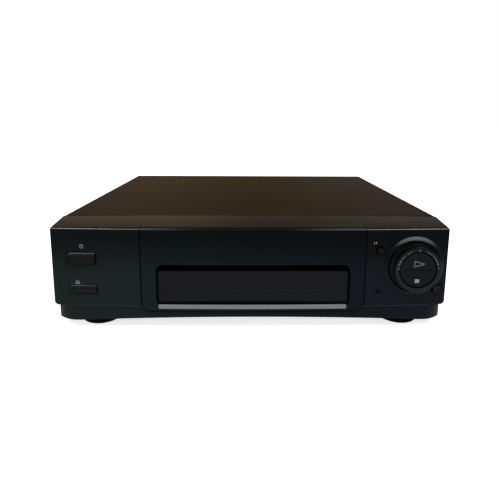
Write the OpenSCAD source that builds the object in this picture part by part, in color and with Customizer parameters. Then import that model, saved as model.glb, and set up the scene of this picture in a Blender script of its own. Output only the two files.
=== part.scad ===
// Front-loading video cassette recorder with a bowed front, a shuttle ring and a smoked cassette flap.
// Lengths are in millimetres. X runs to the viewer's right, Y to the back and Z up from the floor.
// The modules place their pieces from the fascia's corners at y = 0; place() then centres the whole part.

/* [Cabinet] */
// Width of the front fascia
body_w = 430; // [410:1:450]
// Depth from the fascia's corners to the rear panel's back
body_d = 345; // [335:1:375]
// Height of the fascia's top front edge above the floor
face_z = 113.6; // [110:0.2:122]
// How far the front bows out between its corners
bow = 5.1; // [3:0.1:7]
// Depth of the sloping band on top of the fascia
band_d = 34; // [30:1:38]
// How much the band climbs from front to back
band_rise = 5; // [3:0.5:6]
// Radius of the fascia's top front edge
edge_r = 1.6; // [1:0.1:2.4]
// Wall of the fascia moulding
wall = 3; // [2.6:0.1:3.4]
// Radius of the fascia's lower corners, seen from the front
corner_r = 4.5; // [3:0.5:7]
// Height of the groove between the fascia and its plinth
groove_z = 26.5; // [26:0.5:28.5]
// Height of that groove's opening
groove_h = 1; // [0.6:0.1:1.6]
// Lowest point of the plinth, above the floor
plinth_z = 8.5; // [7.5:0.5:9.5]
// Rise of the plinth's arched lower edge at the middle
plinth_arch = 5.3; // [3:0.1:6]
// How much narrower the plinth is on each side
plinth_in = 0.3; // [0.1:0.1:1]
// How far the plinth's face stands behind the fascia's
plinth_back = 2; // [1.9:0.1:3]
// Radius with which the plinth turns back at its ends, seen from above
plinth_r = 36; // [30:1:44]
// Distance from the plinth's side where that turn starts
plinth_turn = 24.7; // [20:0.1:28]

/* [Cover and chassis] */
// Sheet thickness of the top cover
cover_t = 1; // [0.7:0.1:1.4]
// How far the cover's sides stand in from the fascia's
cover_in = 0.7; // [0.5:0.1:1.5]
// Height of the cover's top above the back of the fascia's band
cover_step = 0.9; // [0.5:0.1:2]
// Bend radius of the cover's top edges
cover_r = 3; // [2:0.5:6]
// How far the chassis stands in on each side
chassis_in = 5; // [3:0.5:6]
// Radius of the chassis floor's front corners
floor_r = 12; // [8:1:20]
// Height of the chassis floor's underside above the floor
floor_z = 11; // [10.5:0.5:12]
// Thickness of the chassis floor
floor_t = 1.5; // [1.2:0.1:2]
// Height of the chassis side walls above their floor
rail_h = 34; // [28:1:44]
// Wall of the chassis sides
rail_t = 1.5; // [1.2:0.1:2.5]
// Thickness of the rear panel
rear_t = 1.5; // [1:0.1:2.5]
// Radius of a foot
foot_r = 23; // [18:0.5:24]
// Distance of each foot's centre in from the fascia's side
foot_in = 42; // [38:1:55]
// Distance of the front feet behind the fascia's corners
foot_front = 30; // [26:1:40]
// Distance of the rear feet in front of the rear panel
foot_rear = 42; // [30:1:60]
// Radius of a cover screw's head
screw_r = 3.4; // [2.6:0.1:4]

/* [Centre panel] */
// Half width of the centre panel
panel_x = 121; // [116:0.5:124]
// Gap round the centre panel's edges
seam = 0.8; // [0.4:0.1:0.9]
// How far the panel stands proud of the fascia
panel_proud = 0.8; // [0.4:0.1:1.4]
// How far the panel's back lies behind the fascia's face
panel_in = 1.4; // [1.2:0.1:1.5]
// Height of the panel's lower edge
panel_z = 22; // [21:0.1:22.2]
// Radius of the panel's lower corners
panel_r = 7.5; // [4:0.5:9]
// Depth of the lip that wraps onto the band
lip_d = 13; // [9:0.5:18]
// Width of the window, which is also the tape slot's
win_w = 209; // [204:0.5:212]
// Distance of the panel's and the window's middle from the cabinet's
win_x = 2.5; // [0:0.5:4]
// Height of the window's top edge
win_top = 74; // [74:0.5:78]
// Radius of the window's upper corners
win_r = 7; // [3:0.5:7.5]
// Depth of the smoked front behind the fascia's corners
smoke_y = -1; // [-1.5:0.25:1]
// Thickness of the smoked parts
smoke_t = 2; // [1.6:0.1:2.4]
// Height of the joint between the display window and the flap
split_z = 41; // [40:0.25:41]
// Height of the flap's hinge axis
hinge_z = 70; // [69:0.5:70.5]
// Height of the flap's smoked face's upper edge
flap_top = 66; // [64:0.5:66.5]
// Radius of the flap's hinge pins
pin_r = 1.5; // [1.2:0.1:1.8]
// Height of the silver strip under the window
strip_h = 4.8; // [4:0.1:6.4]
// Thickness of that strip
strip_t = 1.1; // [0.8:0.1:1.3]

/* [Buttons] */
// Width of the power and eject buttons
key_w = 28.4; // [24:0.2:32]
// Distance of their middle in from the cabinet's left side
key_in = 33; // [31:0.5:39]
// Height of the power button
power_h = 11; // [9:0.1:13]
// Height of the power button's middle above the floor
power_z = 81; // [76:0.1:84]
// Height of the eject button
eject_h = 8.1; // [7:0.1:12]
// Height of the eject button's middle above the floor
eject_z = 45.8; // [42:0.1:48]
// How far the power button stands out
power_out = 3.2; // [2.4:0.1:4]
// How far the eject button stands out
eject_out = 2; // [1.6:0.1:3]
// Radius of the pause button
pause_r = 4.1; // [3.2:0.1:4.6]
// Distance of the pause button and the timer lamp in from the right side
pause_in = 75.5; // [73:0.5:77]
// Height of the pause button's middle
pause_z = 89.9; // [86:0.1:92]
// Radius of the record button
record_r = 5.3; // [4.5:0.1:5.5]
// Distance of the record button in from the right side
record_in = 10; // [8.8:0.1:11]
// Height of the record button's middle
record_z = 45.5; // [43.5:0.1:46.5]
// Radius of the timer lamp's lens
lens_r = 2.7; // [2:0.1:3.2]
// Height of the timer lamp
lens_z = 43.5; // [40:0.5:46]
// Travel of every push button
travel = 1.2; // [0.8:0.1:1.5]
// Gap round a button
key_gap = 0.6; // [0.3:0.05:0.7]
// Radius of a button's stem
stem_r = 1.5; // [1.2:0.1:1.8]

/* [Shuttle] */
// Distance of the shuttle's axis in from the cabinet's right side
knob_in = 37.5; // [36:0.5:39]
// Height of the shuttle's axis
knob_z = 72; // [70:0.5:73]
// Outer radius of the raised collar round the shuttle ring
collar_r = 33.8; // [33:0.1:34.6]
// Height of the collar above the fascia
collar_h = 2.6; // [2:0.1:3.2]
// Outer radius of the shuttle ring's skirt
skirt_r = 28.4; // [27.8:0.1:29]
// Outer radius of the shuttle ring's front
ring_r = 25.5; // [25.2:0.1:26]
// Radius of the play and stop disc
disc_r = 19.7; // [19.2:0.1:19.9]
// How far the shuttle ring stands out
ring_out = 12; // [9:0.5:13]
// Wall of the shuttle ring's sleeve
sleeve_t = 2.2; // [1.8:0.1:2.4]

/* [Tape transport] */
// Width of a cassette
tape_w = 188; // [187:0.5:189]
// Height of a cassette
tape_h = 25; // [24.5:0.5:25]
// Travel of the holder from the slot to its inner end
load_in = 85; // [80:1:86]
// Drop of the holder onto the reel tables
load_down = 15.5; // [14:0.5:16]
// Height of the slot's floor, where a cassette slides in
slot_z = 41.5; // [41:0.5:42]
// Depth of the holder
holder_d = 52; // [48:1:56]
// Thickness of the transport's sheet metal
metal_t = 1.2; // [1:0.1:1.4]
// Radius of the pins that guide the carriage
guide_r = 2; // [1.6:0.1:2.2]
// Radius of the video drum
drum_r = 31; // [30:0.1:31]
// Height of each half of the drum
drum_h = 12.5; // [11:0.5:14]
// Lean of the drum, in degrees
drum_lean = 5; // [4:0.5:6]
// Distance between the reel tables
reel_gap = 92; // [90:0.5:94]
// Radius of a reel table
reel_r = 20; // [18:0.5:22]
// Number of teeth on the carriage's pinion
pinion_teeth = 16; // [14:1:18]
// Size of the pinion's and the rack's teeth, the pitch over pi
tooth = 1.25; // [1:0.05:1.3]

/* [Hidden] */
$fn = 64;
gap = 0.3;
run = 0.05;
slope = band_rise / band_d;
key_x = body_w / 2 - key_in;
pause_x = body_w / 2 - pause_in;
record_x = body_w / 2 - record_in;
knob_x = body_w / 2 - knob_in;
foot_x = body_w / 2 - foot_in;
lean = atan(slope);
bow_r = (body_w * body_w / 4 + bow * bow) / (2 * bow);
bow_y = bow_r - bow;
half_turn = asin((body_w / 2 + 6) / bow_r);
cover_z = face_z + band_rise + cover_step;
socket_out = 11;
front_y = face_y(knob_x) - ring_out;
mid_y = (front_y + body_d + socket_out) / 2;
floor_top = floor_z + floor_t;
side_x = body_w / 2 - chassis_in;
plinth_x = body_w / 2 - plinth_in;
turn_x = plinth_x - plinth_turn;
cover_x = body_w / 2 - cover_in;
win_l = win_x - win_w / 2;
win_rt = win_x + win_w / 2;
strip_z = panel_z + 2.1;
strip_l = win_l + 1.2;
strip_rt = win_rt - 2.4;
sill_top = strip_z + strip_h;
board_y = 27;
board_t = 1.6;
notch_z = split_z - 3;
knob_y = face_y(knob_x);
deck_z = 19;
deck_top = deck_z + metal_t;
hub_y = 116;
drum_y = 224;
rail_x = tape_w / 2 + 1;
holder_y = 46;
plate_x = rail_x + 6.2;
pinion_r = pinion_teeth * tooth / 2;
seat_f = 1.3;
rim = 1.1;
collar_edge = collar_r - skirt_r - 0.4;
plinth_y = face_y(turn_x) + plinth_back - 0.15;

// How far back the bowed front lies at x
function face_y(x) = bow_y - sqrt(bow_r * bow_r - x * x);

// Height of the sloping band, d behind the bowed front
function band_z(d) = face_z + slope * d;

// Points of an arc about c
function arc(c, r, from, to, n = 6) = [for (i = [0 : n]) c + r * [cos(from + (to - from) * i / n),
    sin(from + (to - from) * i / n)]];

// The fascia's side profile, inset by t, from z = low to the back edge at depth back
function crown(t, low, back) = let (c = [edge_r, face_z + slope * edge_r - edge_r / cos(lean)]) concat(
    [[back, low], [t, low]],
    t < edge_r - 0.1 ? arc(c, edge_r - t, 180, 90 + lean) : [[t, band_z(t) - t / cos(lean)]],
    [[back, band_z(back) - t / cos(lean)]]);

module place() { translate([0, -mid_y, 0]) children(); }

// Sweeps a profile of depth behind the front and height along the bow
module bowed(points) {
    translate([0, bow_y, 0]) rotate([0, 0, -90 - half_turn])
        rotate_extrude(angle = 2 * half_turn, $fn = 1440)
            polygon([for (p = points) [bow_r - p[0], p[1]]]);
}

module box(x, y, z) {
    translate([x[0], y[0], z[0]]) cube([x[1] - x[0], y[1] - y[0], z[1] - z[0]]);
}

// A rod along Y
module rod(x, z, y, r) { translate([x, y[0], z]) rotate([-90, 0, 0]) cylinder(r = r, h = y[1] - y[0]); }

// A rod along X
module pin(x, y, z, r) { translate([x[0], y, z]) rotate([0, 90, 0]) cylinder(r = r, h = x[1] - x[0]); }

// An upright rod
module post(x, y, z, r) { translate([x, y, z[0]]) cylinder(r = r, h = z[1] - z[0]); }

// A rectangle with round corners, as a true outline
module rounded(x, z, r) {
    translate([x[0] + r, z[0]]) square([x[1] - x[0] - 2 * r, z[1] - z[0]]);
    translate([x[0], z[0] + r]) square([x[1] - x[0], z[1] - z[0] - 2 * r]);
    for (cx = [x[0] + r, x[1] - r], cz = [z[0] + r, z[1] - r]) translate([cx, cz]) circle(r);
}

// That outline standing up, extruded along Y
module facing(y) { translate([0, y[1], 0]) rotate([90, 0, 0]) linear_extrude(height = y[1] - y[0])
    children(); }

// Turned about the shuttle's axis, with heights measured forwards from the fascia
module turned() { translate([knob_x, knob_y, knob_z]) rotate([90, 0, 0]) rotate_extrude() children(); }

module front_fascia() {
    low = groove_z + groove_h / 2;
    color("#1c2022") difference() {
        union() {
            intersection() {
                bowed(crown(0, low - 2, band_d + 9));
                facing([-bow - 1, band_d])
                    rounded([-body_w / 2, body_w / 2], [low, cover_z + corner_r + 9], corner_r);
            }
            intersection() {
                bowed([[band_d + 9, plinth_z], [plinth_back, plinth_z], [plinth_back, low - groove_h - 1],
                    [plinth_back + 1, low - groove_h], [plinth_back + 2.2, low - groove_h],
                    [plinth_back + 2.2, low + 1], [band_d + 9, low + 1]]);
                linear_extrude(height = face_z) {
                    rounded([-turn_x - plinth_r, turn_x + plinth_r], [plinth_y, band_d + 2 * plinth_r],
                        plinth_r);
                    translate([2 - turn_x, -bow - 2]) square([2 * turn_x - 4, bow + 20]);
                }
                box([-plinth_x, plinth_x], [-bow - 1, band_d], [0, face_z]);
            }
            low_f = min(-2.2, collar_h - collar_edge - 0.2);
            turned() polygon(concat([[0, low_f], [collar_r, low_f]],
                arc([collar_r - collar_edge, collar_h - collar_edge], collar_edge, 0, 90, 8),
                [[collar_r - collar_edge, seat_f], [0, seat_f]]));
        }
        intersection() {
            bowed(crown(wall, low + wall, band_d + 12));
            box([-body_w / 2 + wall, body_w / 2 - wall], [-bow, band_d + 1], [low, cover_z]);
        }
        intersection() {
            bowed([[band_d + 12, plinth_z - 1], [plinth_back + wall + 2, plinth_z - 1],
                [plinth_back + wall + 2, low + wall + 1], [band_d + 12, low + wall + 1]]);
            linear_extrude(height = face_z)
                rounded([wall - turn_x - plinth_r, turn_x + plinth_r - wall],
                    [plinth_y + wall + 2, band_d + 2 * plinth_r], plinth_r - wall);
            box([wall - plinth_x, plinth_x - wall], [-bow, band_d + 1], [0, face_z]);
        }
        arch_x = turn_x - 2;
        arch_r = (arch_x * arch_x + plinth_arch * plinth_arch) / (2 * plinth_arch);
        rod(0, plinth_z + plinth_arch - arch_r, [-bow - 1, band_d + 1], arch_r, $fn = 256);
        panel_seat();
        box([win_l - 8, win_rt + 8], [-bow - 1, band_d + 1], [panel_z - seam, win_top + 7]);
        facing([-bow - 1, 9]) {
            key_hole(power_z, power_h);
            key_hole(eject_z, eject_h);
        }
        rod(pause_x, pause_z, [-bow - 1, 9], pause_r + key_gap);
        rod(record_x, record_z, [-bow - 5, 9], record_r + key_gap);
        rim_y = face_y(record_x + record_r) + wall;
        rod(record_x, record_z, [rim_y + 0.2, rim_y + travel + 2.6], record_r + rim + gap);
        rod(pause_x, lens_z, [-bow - 1, 9], lens_r);
        rod(knob_x, knob_z, [-bow - 5, 9], disc_r + gap + sleeve_t + 2 * gap);
    }
}

// The recess in the fascia that the centre panel fills, with its gap
module panel_seat() {
    difference() {
        intersection() {
            bowed(crown(-2, panel_z - 3, lip_d + gap));
            facing([-bow - 3, band_d])
                rounded([win_x - panel_x - seam, win_x + panel_x + seam], [panel_z - seam, cover_z + 20],
                    panel_r + seam);
        }
        bowed(crown(panel_in + gap, panel_z - 5, band_d + bow));
    }
}

module key_hole(z, h) {
    rounded([-key_x - key_w / 2 - key_gap, -key_x + key_w / 2 + key_gap],
        [z - h / 2 - key_gap, z + h / 2 + key_gap], 1.6);
}

module centre_panel() {
    color("#15191a") difference() {
        union() {
            difference() {
                intersection() {
                    bowed(crown(-panel_proud, panel_z - 3, lip_d));
                    facing([-bow - 3, band_d])
                        rounded([win_x - panel_x, win_x + panel_x], [panel_z, cover_z + 20], panel_r);
                }
                bowed(crown(panel_in, panel_z - 5, lip_d + 9));
            }
            box([win_l - 2.5, win_rt + 2.5], [-bow + panel_in - 0.5, smoke_y + 8], [panel_z, win_top + 2.5]);
        }
        strip_bed();
        facing([-bow - 9, smoke_y + 5]) {
            intersection() {
                rounded([win_l, win_rt], [panel_z - 30, win_top], win_r);
                translate([win_l, sill_top]) square([win_w, win_top]);
            }
        }
        box([win_l - 0.2, win_rt + 0.2], [smoke_y - 1.5, smoke_y + 6.2], [sill_top, win_top + 0.2]);
        box([win_l - 0.2, win_rt + 0.2], [smoke_y + 6, smoke_y + 9], [sill_top, hinge_z + 2.7]);
        pin([win_l - 4, win_rt + 4], smoke_y + 3.5, hinge_z, pin_r + run);
    }
}

// The shallow bed that the silver strip lies in, open to the ledge above it
module strip_bed() {
    intersection() {
        bowed([[-panel_proud - 1, strip_z - run], [strip_t - panel_proud + run, strip_z - run],
            [strip_t - panel_proud + run, sill_top + 1], [-panel_proud - 1, sill_top + 1]]);
        box([strip_l - run, strip_rt + run], [-bow - 2, smoke_y], [0, face_z]);
    }
}

module sill_strip() {
    front = -panel_proud;
    color("#8f9192") intersection() {
        bowed([[front + 0.2, strip_z], [front + strip_t, strip_z], [front + strip_t, sill_top],
            [front + 0.2, sill_top], [front, sill_top - 0.2], [front, strip_z + 0.2]]);
        box([strip_l, strip_rt], [-bow - 2, smoke_y], [0, face_z]);
    }
}

module cassette_flap() {
    x = [win_l + 0.4, win_rt - 0.4];
    color("#1a1c1e") union() {
        box(x, [smoke_y, smoke_y + smoke_t], [split_z + gap, flap_top]);
        box(x, [smoke_y + smoke_t - 0.6, smoke_y + smoke_t + 1.2], [flap_top - 2, hinge_z]);
        pin(x, smoke_y + 3.5, hinge_z, 2.4);
        pin([win_l - 7.5, win_rt + 2.5], smoke_y + 3.5, hinge_z, pin_r);
    }
}

module display_window() {
    color("#1b1d20") union() {
        box([win_l + 0.2, win_rt - 0.2], [smoke_y, smoke_y + smoke_t], [sill_top, split_z]);
        for (x = [win_l + 0.2, win_rt - 3.2])
            box([x, x + 3], [smoke_y + smoke_t, smoke_y + 8], [sill_top, split_z - 4]);
    }
}

// The flap's return spring, wound round its left pin outside the panel's cheek
module flap_spring() {
    turns = 3.5;
    n = 16;
    sides = 6;
    w = 0.35;
    r = pin_r + 0.6 + w;
    count = turns * n;
    x0 = win_l - 3.1 - w;
    pts = [for (i = [0 : count], j = [0 : sides - 1]) let (a = 360 * i / n, b = 360 * j / sides,
        q = r + w * cos(b)) [x0 - i * 0.9 / n - w * sin(b), smoke_y + 3.5 + q * cos(a),
            hinge_z + q * sin(a)]];
    faces = concat([[for (j = [0 : sides - 1]) j]],
        [for (i = [0 : count - 1], j = [0 : sides - 1]) let (k = (j + 1) % sides)
            [i * sides + j, (i + 1) * sides + j, (i + 1) * sides + k, i * sides + k]],
        [[for (j = [sides - 1 : -1 : 0]) count * sides + j]]);
    color("silver") polyhedron(pts, faces, convexity = 6);
}

switch_y = board_y - 6;
stem_tip = switch_y + 1.5;
ring_in = disc_r + gap;
ring_out_r = ring_in + sleeve_t;
pivot_f = 4.6;

// A rectangular push button with its retaining flange and its stem
module key(h, z, out) {
    front = face_y(key_x) - out;
    back = face_y(key_x + key_w / 2) + wall + gap;
    difference() {
        union() {
            facing([front, back + 1])
                rounded([-key_x - key_w / 2, -key_x + key_w / 2], [z - h / 2, z + h / 2], 1.3);
            box([-key_x - key_w / 2 - 1.8, -key_x + key_w / 2 + 1.8], [back, back + 1.5],
                [z - h / 2 - 1.8, z + h / 2 + 1.8]);
            rod(-key_x, z, [back + 1, stem_tip], stem_r);
        }
        box([-key_x - key_w / 2 - 1, -key_x + key_w / 2 + 1], [front - 1, front + 0.6],
            [z + h / 2 - 1.1, z + h]);
        translate([-key_x, front - 26, z]) rotate([0, 90, 0])
            cylinder(r = 26.5, h = key_w - 5, center = true);
    }
}

// A round push button with a dished face
module round_key(x, z, r, out) {
    front = face_y(x) - out;
    back = face_y(x + r) + wall + gap;
    difference() {
        union() {
            rod(x, z, [front, back + 1], r);
            rod(x, z, [back, back + 1.5], r + rim);
            rod(x, z, [back + 1, stem_tip], stem_r);
        }
        translate([x, front - 2 * r, z]) sphere(r = 2 * r + 0.6);
    }
}

module power_button() { color("#191c1b") key(power_h, power_z, power_out); }

module eject_button() { color("#1d211f") key(eject_h, eject_z, eject_out); }

module pause_button() { color("#1b1e1f") round_key(pause_x, pause_z, pause_r, 3); }

module record_button() { color("#1b1e1f") round_key(record_x, record_z, record_r, 2.4); }

module timer_lens() {
    color("#3a1414") union() {
        rod(pause_x, lens_z, [face_y(pause_x) - 0.4, face_y(pause_x) + wall + 0.6], lens_r - 0.15);
        rod(pause_x, lens_z, [face_y(pause_x + lens_r) + wall + 0.2, face_y(pause_x) + wall + 1.4],
            lens_r + 1);
        rod(pause_x, lens_z, [face_y(pause_x) + wall + 1, board_y], 1.4);
    }
}

module shuttle_ring() {
    edge = ring_out - 2.6;
    color("#16191a") turned()
        polygon([[ring_in, ring_out], [ring_r - 0.7, ring_out], [ring_r, ring_out - 0.6],
        [skirt_r - 0.9, seat_f + 1.9], [skirt_r, seat_f + 0.7], [skirt_r, seat_f + gap],
            [skirt_r - 2, seat_f + gap],
        [ring_r - 2.2, edge],
        [ring_out_r, edge], [ring_out_r, -4.9], [ring_out_r + 3, -4.9], [ring_out_r + 3, -6.4],
        [ring_out_r, -6.4], [ring_out_r, -22], [ring_in, -22]]);
}

module play_stop_disc() {
    front = ring_out - 0.6;
    color("#1c1e20") difference() {
        union() {
            turned() polygon([[0, front - 2.5], [disc_r, front - 2.5], [disc_r, front - 0.5],
                [disc_r - 0.5, front], [0, front]]);
            for (s = [-1, 1]) {
                box([knob_x + s * 8.3 - 1.2, knob_x + s * 8.3 + 1.2], [knob_y - front + 2, knob_y - 2.2],
                    [knob_z - 2.8, knob_z + 2.8]);
                rod(knob_x, knob_z + s * 13, [knob_y - front + 2, switch_y - 1], 1.5);
            }
        }
        box([knob_x - 15, knob_x + 15], [knob_y - front - 1, knob_y - front + 0.5],
            [knob_z - 0.5, knob_z + 0.5]);
        pin([knob_x - 11, knob_x + 11], knob_y - pivot_f, knob_z, 1.5 + run);
    }
}

module knob_carrier() {
    color("dimgray") union() {
        box([knob_x - 6.4, knob_x + 6.4], [knob_y - 6.2, board_y], [knob_z - 4, knob_z + 4]);
        pin([knob_x - 10.5, knob_x + 10.5], knob_y - pivot_f, knob_z, 1.5);
    }
}

module shuttle_encoder() {
    back = knob_y - board_y;
    color("#2f4f4f") turned() polygon([[ring_in - gap - 2, back], [ring_out_r + gap + 2.5, back],
        [ring_out_r + gap + 2.5, -14], [ring_out_r + gap, -14], [ring_out_r + gap, -24],
        [ring_in - gap, -24], [ring_in - gap, -14], [ring_in - gap - 2, -14]]);
}

module front_board() {
    z = [floor_top + 12, face_z - 12];
    x = body_w / 2 - wall - 5;
    color("#3b5a2a") difference() {
        box([-x, x], [board_y, board_y + board_t], z);
        box([win_l - 9, win_rt + 9], [board_y - 1, board_y + 3], [notch_z, face_z]);
    }
}

// The tactile switches: plain housings with a pocket for each stem
module tact_switches() {
    module switch(x, z) {
        difference() {
            box([x - 3.5, x + 3.5], [switch_y, board_y], [z - 3.5, z + 3.5]);
            rod(x, z, [switch_y - 1, stem_tip + travel + 0.6], stem_r + 0.4);
        }
    }
    color("dimgray") {
        switch(-key_x, power_z);
        switch(-key_x, eject_z);
        switch(pause_x, pause_z);
        switch(record_x, record_z);
        for (s = [-1, 1])
            box([knob_x - 3, knob_x + 3], [switch_y + 0.5, board_y],
            [knob_z + s * 13 - 3, knob_z + s * 13 + 3]);
    }
}

module display_tube() {
    color("#1d3b3a") union() {
        box([win_x - 48, win_x + 59], [smoke_y + smoke_t + 1.5, smoke_y + smoke_t + 6.5],
            [sill_top, split_z - 1]);
        box([win_x - 40, win_x + 50], [smoke_y + smoke_t + 6.4, board_y], [notch_z - 2.5, notch_z - 1]);
    }
}

module top_cover() {
    module outline(t) {
        rounded([-cover_x + t, cover_x - t], [groove_z - 20 + t, cover_z - t], max(cover_r - t, 0.5));
    }
    y = [band_d + gap, body_d - rear_t - gap];
    color("#34291f") difference() {
        facing(y) outline(0);
        facing([y[0] - 1, y[1] + 1]) outline(cover_t);
        box([-body_w, body_w], [0, body_d + 1], [0, groove_z + 0.5]);
        vent_rows(-1);
        vent_rows(1);
    }
}

// Upright cooling slots through a cover's side, near the back
module vent_rows(side) {
    for (i = [0 : 13])
        translate([side * cover_x - 3, body_d - 130 + i * 7, face_z - 32]) cube([6, 3, 18]);
}

// The pan: floor, sides with a rail under the cover, posts for the deck and the boards
module bottom_chassis() {
    y = [band_d + gap, body_d - rear_t - gap];
    color("#26282a") difference() {
        union() {
            intersection() {
                translate([0, 0, floor_z]) linear_extrude(height = floor_t)
                    rounded([-side_x + wall + 1, side_x - wall - 1], [plinth_y + wall + 6, y[1] + 40],
                        floor_r);
                box([-side_x, side_x], [0, y[1]], [0, face_z]);
            }
            for (s = [-1, 1]) {
                box(s > 0 ? [side_x - rail_t, side_x] : [-side_x, -side_x + rail_t], y,
                    [floor_z, floor_top + rail_h]);
                box(s > 0 ? [side_x - 4.2, side_x] : [-side_x, -side_x + 4.2], y, [floor_z, floor_top]);
                box(s > 0 ? [side_x - 1, cover_x] : [-cover_x, -side_x + 1], y,
                    [groove_z - 1, groove_z + 0.4]);
            }
            for (x = [-92, 92], dy = [70, 252]) post(win_x + x, dy, [floor_z, deck_z], 4);
            for (x = [side_x - 80, side_x - 20], dy = [60, 160, board_back - 17])
                post(x, dy, [floor_z, pcb_z], 3);
            for (x = [20 - side_x, 76 - side_x], dy = [160, board_back - 17])
                post(x, dy, [floor_z, pcb_z], 3);
        }
        for (y = [body_d - 60 : 4 : body_d - 16], s = [-1, 1])
            box([s * 60 - 20, s * 60 + 20], [y, y + 2], [floor_z - 1, floor_top + 1]);
    }
}

module rear_panel() {
    color("#2c2e30") difference() {
        union() {
            box([-cover_x + 0.5, cover_x - 0.5], [body_d - rear_t, body_d], [groove_z, cover_z - 0.6]);
            box([-side_x + 0.3, side_x - 0.3], [body_d - rear_t, body_d], [floor_z, groove_z + 1]);
        }
        for (z = aerial_z) rod(aerial_x, z, [body_d - 5, body_d + 1], 6 + gap);
        for (z = scart_z) box([scart_x - 24, scart_x + 24], [body_d - 5, body_d + 1], [z - 7, z + 7]);
        box([inlet_x - 11, inlet_x + 11], [body_d - 5, body_d + 1], [inlet_z - 6.5, inlet_z + 6.5]);
        for (i = [0 : 17])
            box([-150 + i * 6, -147 + i * 6], [body_d - 5, body_d + 1], [face_z - 36, face_z - 12]);
    }
}

// A foot: a wide round cup with a shallow hollow under it
module foot(x, y) {
    translate([x, y, 0]) rotate_extrude() polygon([[foot_r - 7, 0], [foot_r - 1, 0], [foot_r, 1],
        [foot_r - 0.6, floor_z], [0, floor_z], [0, 2], [foot_r - 7, 2]]);
}

module front_feet() { color("#141516") for (s = [-1, 1]) foot(s * foot_x, foot_front); }

module rear_feet() { color("#141516") for (s = [-1, 1]) foot(s * foot_x, body_d - foot_rear); }

module cover_screws() {
    color("#3a3a3a") {
        for (s = [-1, 1], y = [90, 250])
            translate([s * (cover_x + 0.1), y, 70]) rotate([0, s * 90, 0])
                cylinder(r = screw_r, h = cover_in - 0.1);
        for (x = [24 - cover_x, 0, cover_x - 24]) translate([x, body_d + 0.1, cover_z - 7])
            rotate([-90, 0, 0]) cylinder(r = screw_r, h = 1.6);
    }
}

aerial_x = side_x - 46;
aerial_z = [38, 60];
scart_x = 50;
scart_z = [42, 66];
inlet_x = -side_x + 36;
inlet_z = 38;
pcb_z = floor_top + 4;
pcb_top = pcb_z + board_t;
board_back = body_d - rear_t - 6;
deck_back = 273;

// Where the supply's pieces start, from the left side of the chassis
supply_x = -side_x;

// Where the transport's pieces stand, from the middle of the tape slot
cap = [54.2, 197.2];
pinch_pivot = [82, 196];
roller = [64, 180];
cam = [84, 232];
motor = [48, 261];
idle_y = 80;
guide_from = [20, 168];
guide_to = [44, 222];
tension_pivot = [-74, 190];
slide_len = norm(guide_to - guide_from);
slide_turn = atan2(guide_to[0] - guide_from[0], guide_to[1] - guide_from[1]);

module on_deck(p, z = deck_top) { translate([win_x + p[0], p[1], z]) children(); }

module main_board() {
    color("#2f6b3a") union() {
        box([side_x - 86, side_x - 6], [48, board_back], [pcb_z, pcb_top]);
        box([-96, side_x - 85], [deck_back + 5, board_back], [pcb_z, pcb_top]);
        for (x = [side_x - 76, side_x - 50], y = [60 : 34 : 230])
            box([x, x + 18], [y, y + 22], [pcb_top - 0.1, pcb_top + 3]);
        for (x = [-70 : 22 : 20])
            box([x, x + 14], [board_back - 29, board_back - 12], [pcb_top - 0.1, pcb_top + 4]);
        for (y = [70 : 30 : 260]) translate([side_x - 18, y, pcb_top - 0.1]) cylinder(r = 5, h = 12);
    }
}

module power_board() {
    color("#8a6a3a") union() {
        box([supply_x + 6, supply_x + 88], [150, board_back], [pcb_z, pcb_top]);
        for (y = [172 : 14 : 200])
            box([supply_x + 64, supply_x + 74], [y, y + 8], [pcb_top - 0.1, pcb_top + 9]);
    }
}

module transformer() {
    color("#5b3a20") difference() {
        box([supply_x + 14, supply_x + 64], [236, 284], [pcb_top, pcb_top + 42]);
        for (y = [235, 275], z = [pcb_top - 1, pcb_top + 33])
            box([supply_x + 13, supply_x + 65], [y, y + 10], [z, z + 10]);
    }
}

module heat_sink() {
    color("silver") union() {
        box([supply_x + 10, supply_x + 70], [224, 226.5], [pcb_top, pcb_top + 40]);
        for (i = [0 : 7]) translate([supply_x + 12 + i * 7.6, 214, pcb_top + 4]) cube([2, 11, 36]);
    }
}

module capacitors() {
    color("#222a44") for (p = [[24, 166, 11, 34], [24, 194, 9, 26], [50, 166, 8, 25], [49, 189, 6, 18]])
        translate([supply_x + p[0], p[1], pcb_top]) cylinder(r = p[2], h = p[3]);
}

module tuner_can() {
    back = body_d - rear_t - gap;
    color("silver") difference() {
        union() {
            box([aerial_x - 20, aerial_x + 20], [back - 58, back], [pcb_top, aerial_z[1] + 12]);
            for (z = aerial_z) rod(aerial_x, z, [back - 1, body_d + socket_out], 6);
        }
        for (z = aerial_z) rod(aerial_x, z, [body_d, body_d + socket_out + 1], 4.8);
    }
}

module scart_sockets() {
    front = body_d - 16;
    color("#1d1d1f") for (z = scart_z) {
        difference() {
            box([scart_x - 23.7, scart_x + 23.7], [front, body_d + 1.5], [z - 6.7, z + 6.7]);
            box([scart_x - 22, scart_x + 22], [front + 4, body_d + 3], [z - 5, z + 5]);
        }
        box([scart_x - 20, scart_x + 20], [front + 3, body_d + 1], [z - 3.2, z + 3.2]);
    }
    color("#1d1d1f") box([scart_x - 18, scart_x + 18], [front, front + 8], [pcb_top, scart_z[0] - 6.6]);
    color("#1d1d1f")
        box([scart_x - 18, scart_x + 18], [front, front + 8], [scart_z[0] + 6.6, scart_z[1] - 6.6]);
}

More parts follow.
